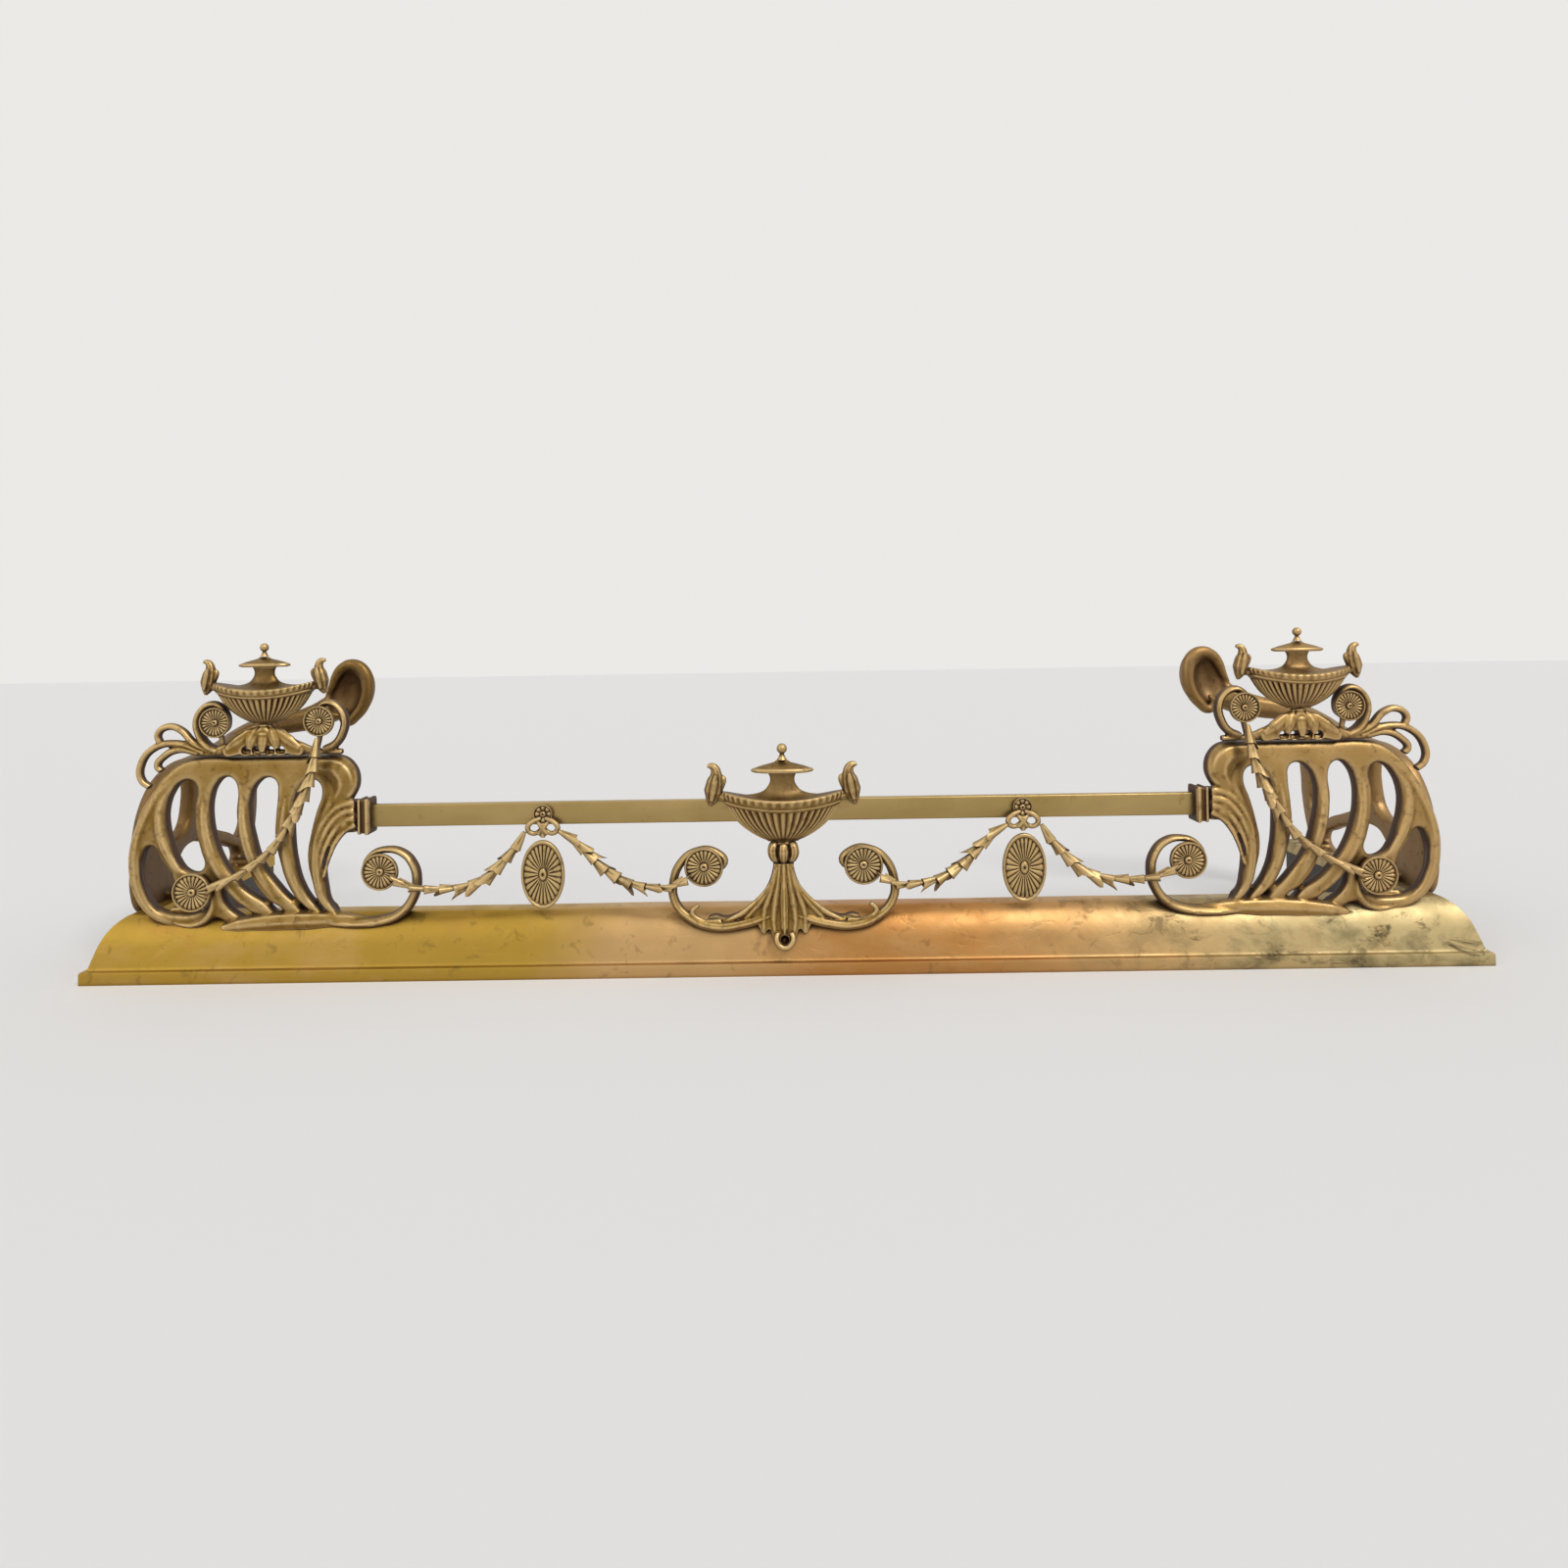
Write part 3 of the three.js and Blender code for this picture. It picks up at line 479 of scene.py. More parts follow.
def kerb_brass():
    """Sheet brass: gold at the left, then sandy, coppery and a dull, pitted right end."""
    tint = colours()
    f = Finish("aged_kerb_brass")
    wander = f.noise(3.2, 4, warp=0.4)
    patches = f.noise(9, 5, 0.62, (1, 1, 2.2))
    along = f.axis("X") + (wander - 0.5) * 0.32
    share = along * (1 / (2 * HALF * MM)) + 0.5
    base = f.ramp(
        share,
        (0.0, tint.gold),
        (0.30, tint.gold),
        (0.38, tint.sand),
        (0.46, tint.sand),
        (0.56, tint.copper),
        (0.64, tint.copper),
        (0.74, tint.sand),
        (0.90, tint.dull),
    )
    base = f.mix(base, tint.sand, f.ramp(patches, (0.52, 0.0), (0.72, 0.55)))
    base = f.mix(base, tint.copper, f.ramp(f.noise(14, 6, 0.7), (0.55, 0.0), (0.75, 0.5)))
    right = f.ramp(share, (0.60, 0.0), (0.92, 1.0))
    pits = f.ramp(f.noise(60, 3, 0.6, warp=0.6), (0.60, 0.0), (0.70, 1.0))
    blots = f.ramp(f.noise(26, 6, 0.7, (1, 1, 1.8), 0.8), (0.56, 0.0), (0.66, 1.0))
    moss = f.ramp(f.noise(17, 5, 0.65, (1, 1, 1.6), 0.5), (0.46, 0.0), (0.62, 0.75))
    base = f.mix(base, tint.moss, moss * right)
    base = f.mix(base, tint.pit, pits * 0.3 + blots * right * 0.7)
    # Painted shade: the kerb takes the dark hollow colour in tight corners, found by ambient occlusion.
    base = f.mix(base, tint.hollow, f.ramp(f.occlusion(0.006), (0.35, 0.75), (0.8, 0.0)))
    rough = f.ramp(f.noise(30, 4), (0.3, 0.30), (0.7, 0.50)) + right * 0.12 + blots * right * 0.2
    return f.surface(base, 0.85, rough, f.noise(180, 4, 0.6) + blots * -1.2, 0.18, 0.0006)


def cast_finish(name, body, ridge, metal=0.85, ridge_highlight=1.0, sides=0.95):
    """Aged cast brass: random mottle and dark specks, a painted highlight on its ridges, and painted shade
    in its hollows, in tight corners and where it doesn't face the room.
    """
    tint = colours()
    f = Finish("aged_" + name)
    mottle = f.noise(38, 5, 0.6)
    base = f.mix(body, ridge, f.ramp(mottle, (0.42, 0.0), (0.75, 0.4)))
    # Painted highlight: convex ridges, found by pointiness, take the pale ridge colour.
    base = f.mix(base, ridge, f.ridges(0.503, 0.520) * ridge_highlight)
    base = f.mix(base, tint.sand, f.ramp(f.axis("X"), (0.1, 0.0), (0.6, 0.45)))
    base = f.mix(base, tint.hollow, f.ramp(f.noise(120, 3, 0.6), (0.56, 0.0), (0.72, 0.5)))
    # Painted shade: concave creases, found by pointiness, take the dark hollow colour.
    base = f.mix(base, tint.hollow, 1 - f.ridges(0.465, 0.497))
    # Painted shade: faces turned sideways to the room, as in the openings, take the dark hollow colour,
    # less metal and more roughness.
    shaded = f.ramp(f.facing(), (0.30, sides), (0.80, 0.0))
    base = f.mix(base, tint.hollow, shaded)
    # Painted shade: tight corners take the dark hollow colour, found by ambient occlusion.
    base = f.mix(base, tint.hollow, f.ramp(f.occlusion(0.018), (0.3, 0.9), (0.9, 0.0)))
    rough = f.ramp(mottle, (0.3, 0.34), (0.7, 0.50)) + shaded * 0.25
    return f.surface(base, metal - shaded * 0.7, rough, f.noise(420, 4, 0.65), 0.35, 0.0005)


def rail_brass():
    """Satin drawn bar with long draw lines and a little tarnish."""
    tint = colours()
    f = Finish("aged_rail_brass")
    lines = f.noise(220, 3, 0.6, (0.02, 1, 1))
    clouds = f.noise(11, 4, 0.6, (0.5, 1, 1))
    base = f.mix(tint.bar, tint.ridge, f.ramp(clouds, (0.35, 0.0), (0.7, 0.6)))
    base = f.mix(base, tint.body, f.ramp(f.noise(70, 5, 0.7), (0.6, 0.0), (0.75, 0.6)))
    return f.surface(base, 0.9, f.ramp(lines, (0.3, 0.28), (0.7, 0.42)), lines, 0.1, 0.0004)


def iron():
    """Dark iron with a breath of rust."""
    tint = colours()
    f = Finish("aged_iron")
    rust = f.ramp(f.noise(45, 6, 0.7), (0.5, 0.0), (0.72, 0.8))
    base = f.mix(tint.iron, (0.16, 0.06, 0.025), rust)
    return f.surface(base, 0.55, f.ramp(rust, (0.0, 0.5), (1.0, 0.8)), f.noise(250, 4, 0.7), 0.4, 0.0006)


def finish(name):
    """The named finish, made when it is first asked for."""
    made = bpy.data.materials.get("aged_" + name)
    if made:
        return made
    makers = {"kerb_brass": kerb_brass, "rail_brass": rail_brass, "iron": iron}
    if name in makers:
        return makers[name]()
    tint = colours()
    # Columns: body colour, pale colour of the mottle and painted ridge highlight, metallic, share of
    # painted ridge highlight, share of painted shade on faces turned sideways.
    cast_looks = {
        "urn_brass": (tint.urn, tint.ridge, 0.85, 0.8, 0.5),
        "ornament_brass": (tint.husk, tint.ridge, 0.7, 0.9, 0.6),
        "side_brass": (tint.side, tint.body, 0.8, 0.6, 0.3),
        "cast_brass": (tint.body, tint.ridge),
    }
    return cast_finish(name, *cast_looks[name])


# ---------- kerb ----------

# Outside of the kerb's section: distance behind the front edge, height.
KERB_WIDTH = 50
KERB_HEIGHT = 60
KERB_LIP = 14
KERB_PROFILE = [
    (0, 0), (0, 10.5), (1.2, 12.4), (4.6, 13), (6, 15.5), (8, 22), (10.2, 29), (13, 37), (17, 45),
    (22.5, 52.5), (28.5, 57.6), (34, KERB_HEIGHT), (KERB_WIDTH, KERB_HEIGHT),
]


def kerb_run(steps, place):
    """Sheet of the kerb's section, set out by a function of the way along and the section's point."""
    fine = rounded_line(KERB_PROFILE[:3], 2)[:-1] + rounded_line(KERB_PROFILE[2:5], 3)[:-1]
    fine += rounded_line(KERB_PROFILE[4:], 4)
    fine += [(KERB_WIDTH, KERB_HEIGHT - drop) for drop in (2, KERB_LIP)]
    deselect()
    bpy.ops.mesh.primitive_grid_add(x_subdivisions=steps, y_subdivisions=len(fine) - 1, size=1)
    piece = bpy.context.object
    for vertex in piece.data.vertices:
        along = vertex.co.x + 0.5
        d, h = fine[round((vertex.co.y + 0.5) * (len(fine) - 1))]
        vertex.co = place(along, d, h)
    piece.data.update()
    return piece


def dented(piece):
    """Lets the sheet wave a little, but not at its edges on the floor."""
    amount = sizes().dent
    piece.data.update()
    normals = [vertex.normal.copy() for vertex in piece.data.vertices]
    for vertex, normal in zip(piece.data.vertices, normals):
        wave = noise.noise(vertex.co * 9) + 0.5 * noise.noise(vertex.co * 31)
        share = min(1.0, max(0.0, (vertex.co.z / MM - 15) / 10))
        vertex.co += normal * wave * amount * share
    return piece


def thickened(piece):
    """Gives the sheet its thickness, inwards, with every face outwards."""
    clean(piece)
    middle = piece.data.polygons[len(piece.data.polygons) // 2]
    if middle.normal.z < 0:
        edit(piece, bpy.ops.mesh.flip_normals)
    dented(piece)
    return modify(piece, "SOLIDIFY", thickness=sizes().sheet, offset=-1, use_even_offset=True)


def front_place(along, d, h):
    """Point of the front length, mitred at both ends; along goes from 0 at the left to 1."""
    reach = HALF - d - GAP / 2
    return at((2 * along - 1) * reach, d, h)


def return_place(along, d, h):
    """Point of the right-hand return; along goes from 0 at the mitre to 1 at the back."""
    start = d + GAP / 2
    return at(HALF - d, start + (DEPTH - start) * along, h)


def seat(place):
    """Solid that the feet of the castings are cut by, so that they sit on the moulded kerb."""
    aside = GAP * 0.7
    section = [(d - aside, h + aside) for d, h in KERB_PROFILE[:-1]]
    section += [(KERB_WIDTH + 30, KERB_HEIGHT + GAP), (KERB_WIDTH + 30, -8), (-GAP, -8)]
    deselect()
    bpy.ops.mesh.primitive_circle_add(vertices=len(section), fill_type="NGON")
    piece = bpy.context.object
    for vertex, (d, h) in zip(piece.data.vertices, section):
        vertex.co = (0, d, h)
    edit(piece, bpy.ops.mesh.extrude_region_move, TRANSFORM_OT_translate={"value": (1, 0, 0)})
    shape(piece, lambda p: place(p.x, p.y, p.z))
    return clean(piece)


# ---------- end cage ----------

# Outline of a cage seen from the front: X, Z.
CAGE_EDGE = [
    (460, 216), (500, 216), (540, 216), (583, 216), (598, 212), (612, 201), (627, 180), (637, 162),
    (643, 139), (647, 114), (644, 90), (634, 66), (622, 54), (598, 46), (578, 48), (562, 57), (543, 46),
    (520, 45), (470, 45), (430, 45), (400, 46), (396, 53), (420, 56), (441, 60), (448, 70), (452, 90),
    (453, 112), (449, 129), (437, 140), (428, 150), (434, 166), (424, 178), (421, 192), (429, 209),
    (442, 216),
]
CAGE_HOLES = [
    [(625, 130), (634, 114), (635, 95), (629, 78), (617, 66), (598, 62), (578, 65), (568, 74), (570, 84),
     (578, 76), (592, 78), (600, 88), (604, 101), (614, 116)],
    [(587, 193), (597, 192), (605, 183), (610, 167), (609, 148), (604, 131), (598, 116), (590, 106),
     (578, 104), (572, 110), (575, 123), (580, 143), (582, 167), (581, 186)],
    [(562, 189), (554, 196), (546, 194), (541, 184), (541, 162), (537, 137), (530, 113), (523, 93),
     (510, 75), (496, 61), (514, 74), (529, 84), (541, 97), (552, 113), (562, 138), (566, 157), (566, 177)],
    [(520, 191), (510, 195), (503, 191), (501, 180), (502, 156), (502, 137), (497, 112), (491, 92),
     (481, 74), (468, 61), (485, 74), (500, 91), (515, 113), (523, 137), (527, 157), (527, 176)],
    [(470, 192), (461, 190), (457, 180), (462, 161), (467, 139), (470, 117), (466, 93), (460, 73),
     (449, 61), (464, 72), (475, 90), (481, 112), (484, 137), (484, 161), (480, 182)],
    [(552, 89), (546, 80), (537, 70), (527, 62), (517, 56), (531, 57), (542, 62), (550, 70), (554, 80)],
]
# Lines along which the ribs stand proud, with their radius at the ends and in the middle.
CAGE_RIDGES = [
    ([(588, 207), (612, 188), (629, 160), (638, 134), (640, 108), (636, 84), (624, 64), (606, 55),
      (588, 53)], 3.5, 6.5),
    ([(606, 192), (616, 170), (616, 148), (610, 128), (600, 110), (590, 96)], 3, 5.8),
    ([(573, 196), (573, 180), (573, 160), (569, 136), (561, 112), (550, 94), (537, 78), (521, 66),
      (503, 56)], 2, 6.4),
    ([(533, 196), (534, 180), (534, 158), (530, 135), (522, 112), (511, 91), (497, 73), (478, 58)], 2, 6.4),
    ([(491, 196), (491, 180), (493, 158), (493, 136), (489, 112), (482, 90), (472, 72), (454, 57)], 2, 6),
    ([(446, 196), (445, 182), (450, 162), (457, 140), (460, 116), (459, 92), (454, 73), (442, 58)], 3, 6.6),
]
# Round limbs of a cage: points as X, D and Z, radius, and depth as a share of the width.
CAGE_LIMBS = [
    # top band
    ([(x, 32, 205) for x in (600, 575, 540, 500, 460, 444)], swelling(6, 10), 0.42),
    # long foot on the kerb
    ([(556, 21, 48), (538, 23, 50.5), (505, 25, 53), (470, 25, 54), (436, 25, 54), (408, 24, 53)],
     swelling(3.6, 11.2), 1),
    # curl round the lower rosette
    ([(608, 27, 57), (594, 27, 52), (580, 27, 52.5), (568, 26, 61), (564, 25, 77), (571, 25, 90)],
     swelling(3.2, 5.2), 2),
    # volute, and the strut to its rosette
    ([(466, 33, 53), (440, 28, 51.5), (418, 26, 51), (396, 26, 53), (379, 26, 60), (368, 26, 73),
      (363, 25, 91), (366, 24, 108), (377, 24, 120), (393, 24, 123), (407, 24, 118), (414, 24, 105),
      (411, 24, 93)], tapered(6.6, 2.6), 2),
    ([(413, 25, 102), (396, 25, 103)], 4.5, 1),
    # rolled shoulder
    ([(478, 35, 206), (456, 33, 204), (440, 32, 199), (436, 32, 187), (442, 30, 172), (451, 27, 156)],
     swelling(7, 15.5), 0.8),
    # arm that holds the rail
    ([(424, 36.5, 157.5), (438, 34, 153), (450, 30, 139), (458, 27, 120)], tapered(12, 8), 1),
]
# Flutes that sweep from the rail socket into the innermost rib.
SOCKET_FLUTES = [
    [(424, 26, 169), (437, 23.5, 167), (448, 20.5, 158), (456, 18, 144), (462, 18.5, 124)],
    [(424, 25, 162), (436, 22.5, 159), (446, 19.5, 150), (453, 17, 136), (460, 18.5, 114)],
    [(424, 25, 155), (435, 22.5, 151.5), (443, 19.5, 142), (450, 17, 128), (457, 18.5, 105)],
    [(424, 26, 148), (433, 23.5, 143), (440, 20.5, 134), (446, 18, 120), (453, 18.5, 97)],
]
# Rosettes: X, D, Z and radius.
LOWER_ROSETTE = (580, 15, 86, 19)
VOLUTE_ROSETTE = (396, 17, 103, 18)
CENTRE_ROSETTE = (78, 13, 104, 19)
CAGE_SCREW_X = (600, 470)
SIDE_SCREW_D = (100, 250)
SCREW_D = 42
LUG_TOP = 67
LUG_HEIGHT = 17
LUG_Z = LUG_TOP - LUG_HEIGHT / 2
RAIL_Z = 155
RAIL_D = 36
RAIL_DEEP = 10
RAIL_HEIGHT = 22
# Face of the openwork: depth at its waist, height of the waist, and how far back it is at that reach.
WAIST_D = 17
WAIST_Z = 110
FACE_REACH = 105
FACE_BACK = 12


def face_depth(z):
    """Depth of an openwork casting's face at height z: it bulges forwards in the middle."""
    return WAIST_D + FACE_BACK * ((z - WAIST_Z) / FACE_REACH) ** 2


def bulged_plate(outlines):
    """Openwork plate with its face in the plane of the ribs, bulging forwards."""
    thick = sizes().plate / MM
    piece = plate(outlines, thick, sizes().rounding / MM)
    modify(piece, "REMESH", mode="VOXEL", voxel_size=2 * MM)
    return shape(piece, lambda p: p + Vector((0, FRONT + (face_depth(p.z / MM) + thick / 2) * MM, 0)))


def ridge(points, ends, middle):
    """Raised line along a rib's face."""
    raised = [(x, face_depth(z) + middle * 0.62, z) for x, z in points]
    return limb(raised, swelling(ends, middle))


def boss(place, radius, deep):
    """Round seat behind a rosette."""
    x, d, z, _ = place
    piece = turned([(0, 0), (radius, 0), (radius, deep), (0, deep)], 32)
    return shape(piece, lambda p: at(x + p.x / MM, d + p.z / MM, z + p.y / MM))


def make_cage(cutter):
    """Openwork cage with its limbs, rail socket, rosette seats and screw lugs."""
    parts = [bulged_plate([CAGE_EDGE, *CAGE_HOLES])]
    parts += [ridge(*line) for line in CAGE_RIDGES]
    parts += [limb(*line) for line in CAGE_LIMBS]
    parts += [limb(line, tapered(4.4, 1.6)) for line in SOCKET_FLUTES]
    parts.append(block(12, 20, 31, 429.5, RAIL_D, RAIL_Z, 1))
    parts.append(boss(LOWER_ROSETTE, 12, 14))
    parts.append(boss(VOLUTE_ROSETTE, 13, 12))
    parts += [block(22, 20, LUG_HEIGHT, x, 38, LUG_Z) for x in CAGE_SCREW_X]
    return cut(cast(parts, sizes().grain), cutter)


# ---------- side casting ----------

# Outlines along the return: distance behind the kerb's front edge, height.
SIDE_EDGE = [
    (70, 50), (56, 56), (50, 75), (52, 100), (58, 135), (68, 166), (84, 188), (108, 200), (140, 204),
    (175, 208), (205, 214), (235, 222), (262, 229), (282, 230), (295, 220), (299, 200), (297, 172),
    (297, 145), (297, 120), (292, 98), (283, 78), (272, 62), (262, 50), (230, 46), (140, 46),
]
SIDE_HOLES = [
    [(86, 128), (76, 146), (80, 166), (92, 180), (110, 187), (130, 187), (140, 172), (143, 150), (136, 128),
     (112, 118)],
    [(172, 126), (162, 148), (162, 176), (176, 191), (205, 198), (235, 205), (260, 209), (275, 196),
     (275, 165), (275, 135), (272, 106), (257, 94), (230, 103), (200, 113)],
    [(130, 66), (118, 82), (128, 100), (150, 107), (175, 103), (202, 96), (230, 86), (250, 74), (240, 64),
     (190, 61)],
]
SIDE_RIDGES = [
    ([(64, 60), (60, 90), (64, 124), (73, 156), (88, 180), (110, 193), (140, 196)], 3, 7),
    ([(152, 192), (153, 165), (154, 140), (160, 121), (182, 111), (206, 104), (232, 94), (256, 82),
      (268, 68)], 3, 6),
    ([(287, 218), (287, 190), (286, 160), (286, 130), (282, 104), (272, 82), (258, 62)], 3, 6.5),
    ([(120, 195), (150, 197), (182, 201), (215, 208), (245, 217), (272, 221), (288, 212)], 4, 7.5),
]
SIDE_PLANE = 36  # middle of the side casting, inside the kerb's outer edge
# Rear knob: its middle as X, D and Z, its half sizes, and its lean in degrees.
KNOB_PLACE = (HALF - SIDE_PLANE - 131, 272, 265)
KNOB_SIZE = (23, 22, 34)
KNOB_LEAN = -14
# Round line of its rim: distance outside the knob's middle, D, and height above the middle.
KNOB_RIM = [
    (31, 265, -4), (25, 264, 7), (20, 263, 18), (11, 262, 29), (-4, 260, 33), (-17, 259, 24), (-21, 258, 7),
    (-18, 258, -11), (-7, 258, -28), (6, 258, -36), (10, 257, -28), (4, 256, -19),
]


def make_side_casting(cutter):
    """Openwork over the return, its top rail sweeping up and in to a hollow scroll at the back."""
    parts = [bulged_plate([SIDE_EDGE, *SIDE_HOLES])]
    parts += [ridge(*line) for line in SIDE_RIDGES]
    body = join(*parts)
    shape(body, lambda p: at(HALF - (p.y - FRONT) / MM, p.x / MM, p.z / MM))
    parts = [body, *rear_knob(), ball(9, 32, 34, HALF - 26, 86, 84)]
    parts += [block(20, 22, LUG_HEIGHT, HALF - 38, d, LUG_Z) for d in SIDE_SCREW_D]
    return cut(cast(parts, sizes().grain * 1.25), cutter)


def rear_knob():
    """Spoon-like end of the top rail: a dished bulb with a rolled rim, on a broad strap."""
    plane = HALF - SIDE_PLANE
    x, d, z = KNOB_PLACE
    across, deep, up = KNOB_SIZE
    tilt = (0, math.radians(KNOB_LEAN), 0)
    shell = ball(across, deep, up, x, d, z, tilt)
    dish = ball(across - 1, deep, up - 4, x + 8, d - 20, z - 2, tilt)
    strap = [
        (plane, 226, 212), (plane - 14, 244, 219), (plane - 40, 257, 226), (plane - 76, 265, 233),
        (x + 30, 268, 243), (x + 13, 270, 254),
    ]
    strap = limb(strap, tapered(8, 19), deep=0.75)
    rim = limb([(x + out, back, z + rise) for out, back, rise in KNOB_RIM], swelling(3, 8))
    for solid in (shell, strap):
        cut(solid, dish)
    remove(dish)
    return shell, strap, rim


# ---------- crest ----------

URN_X = 514
CREST_X = 508.5
CREST_D = 31
CAGE_TOP = 217
UPPER_SPREAD = 51.5
UPPER_D = CREST_D - 6
UPPER_Z = 251
UPPER_RADIUS = 15
# Scroll round an upper rosette: distance from its axis away from the urn, and height.
SCROLL_LINE = [
    (2, 222), (13, 228), (20, 239), (22, 252), (17, 263), (8, 268.5), (0, 267), (-6, 260), (-8, 251),
    (-5, 243), (2, 241),
]
WHIP_LOOPS = [
    [(567, 222), (585, 230), (599, 244), (611, 247), (621, 240), (619, 230)],
    [(575, 221), (601, 230), (625, 226), (639, 208), (638, 194), (630, 187)],
    [(581, 221), (601, 224), (616, 217), (622, 208), (618, 203)],
]
# Leaf under an end urn, with the small openings at its foot.
CREST_LEAF = [
    (URN_X, 246), (504, 238), (488, 231), (474, 220), (494, 219), (506, 218), (URN_X, 218), (522, 218),
    (534, 219), (554, 220), (540, 231), (524, 238),
]
LEAF_GAPS = [[(x - 4, 219.5), (x, 227), (x + 4, 219.5)] for x in (497, 507.5, 520.5, 531)]
# Lobes of that leaf: offset from the urn's axis, distance back, height; then their radii.
CREST_LEAVES = [
    ([(0, 29, 247), (0, 26, 238), (0, 24, 229), (0, 23, 221)], 2.6, 5.2),
    ([(5, 29, 245), (9, 27, 239), (12, 25, 232), (13.5, 25, 224)], 2.8, 6),
    ([(7, 30, 244), (16, 28, 238), (26, 26, 231), (36, 25, 224.5)], 3, 7.2),
    ([(9, 31, 238), (24, 29, 231), (38, 28, 225), (52, 28, 221)], 3, 5.4),
]


def make_crest():
    """Scrolls, leaf and whiplash loops on top of a cage."""
    parts = []
    for side in (-1, 1):
        rosette_x = CREST_X + side * UPPER_SPREAD
        scroll = [(rosette_x + side * u, CREST_D + 1, z) for u, z in SCROLL_LINE]
        parts.append(limb(scroll, tapered(4.4, 3.2), deep=1.8))
        strut = [(rosette_x - side * 2, CREST_D - 1, 238), (rosette_x - side * 5, CREST_D - 1, 222)]
        parts.append(limb(strut, tapered(3, 2.4)))
        parts.append(boss((rosette_x, UPPER_D, UPPER_Z, UPPER_RADIUS), 10, 12))
        for lobe, ends, middle in CREST_LEAVES:
            if side < 0 or lobe[0][0] > 0:
                line = [(URN_X + side * u, d, z) for u, d, z in lobe]
                parts.append(limb(line, swelling(ends, middle), 0.6))
    leaf = plate([CREST_LEAF, *LEAF_GAPS], 10, 1.5)
    parts.append(shape(leaf, lambda p: p + Vector((0, FRONT + (CREST_D - 2) * MM, 0))))
    for loop in WHIP_LOOPS:
        parts.append(limb([(x, CREST_D, z) for x, z in loop], tapered(4, 3.4), deep=1.4))
    foot = [(x, CREST_D, 220) for x in (437, 508, 580)]
    parts.append(limb(foot, swelling(3, 3.4), deep=1.3))
    stem = turned([(0, 232), (7, 232), (8.5, 239), (5, 244), (8, 248.4), (0, 248.4)], 32)
    parts.append(shape(stem, lambda p: p + at(URN_X, CREST_D, 0)))
    piece = cast(parts, sizes().fine_grain * 1.2, 3)
    # The outer loops hang past the cage's shoulder, so only what is over the flat top is cut.
    below = block(260, 60, 40, URN_X, CREST_D, CAGE_TOP + GAP - 20)
    shape(below, lambda p: Vector((min(p.x, 578 * MM), p.y, p.z)))
    cut(piece, below)
    remove(below)
    return piece


# ---------- urns ----------

# Shapes of an urn as shares of its half width: distance from its axis, and height over its foot.
BOWL_FOOT = [(0, 0), (0.24, 0), (0.27, 0.02)]
BOWL_FLUTED = [(0.27, 0.02), (0.4, 0.075), (0.57, 0.17), (0.75, 0.30), (0.89, 0.45), (0.935, 0.505)]
BOWL_RIM = [
    (0.955, 0.51), (0.985, 0.53), (0.975, 0.555), (0.99, 0.57), (1.015, 0.61), (1.02, 0.65), (1.0, 0.68),
]
BOWL_TOP = 1.12
BOWL_SHOULDER = [(0.95, 0.685), (0.6, 0.73), (0.33, 0.81), (0.22, 0.93), (0.20, 1.03), (0.235, BOWL_TOP)]
RIM_LIFT = 0.16
LID_EDGE = [(0, 0), (0.45, 0), (0.5, 0.014), (0.515, 0.036), (0.5, 0.058)]
LID_CONE = [(0.47, 0.066), (0.36, 0.105), (0.23, 0.14), (0.14, 0.165), (0.09, 0.198)]
LID_TOP = 0.2
BALL_RADIUS = 0.085
HANDLE = [
    (1.19, 0.58), (1.16, 0.68), (1.13, 0.83), (1.10, 0.98), (1.08, 1.11), (1.12, 1.22), (1.22, 1.25),
]
HANDLE_RADII = [0.03, 0.10, 0.155, 0.14, 0.095, 0.07, 0.035]
HANDLE_ROOT = [(0.90, 0.73), (1.0, 0.74), (1.10, 0.80)]
HANDLE_LOBE = [(1.06, 0.86), (1.0, 0.95), (0.97, 1.03), (0.995, 1.06)]
# Place of an urn's foot, its half width, and its depth as a share of its width.
Urn = namedtuple("Urn", "x d z half flat")
END_URN = Urn(URN_X, CREST_D, 249, 50, 0.42)
CENTRE_URN = Urn(0, 15, 127.5, 60, 0.24)


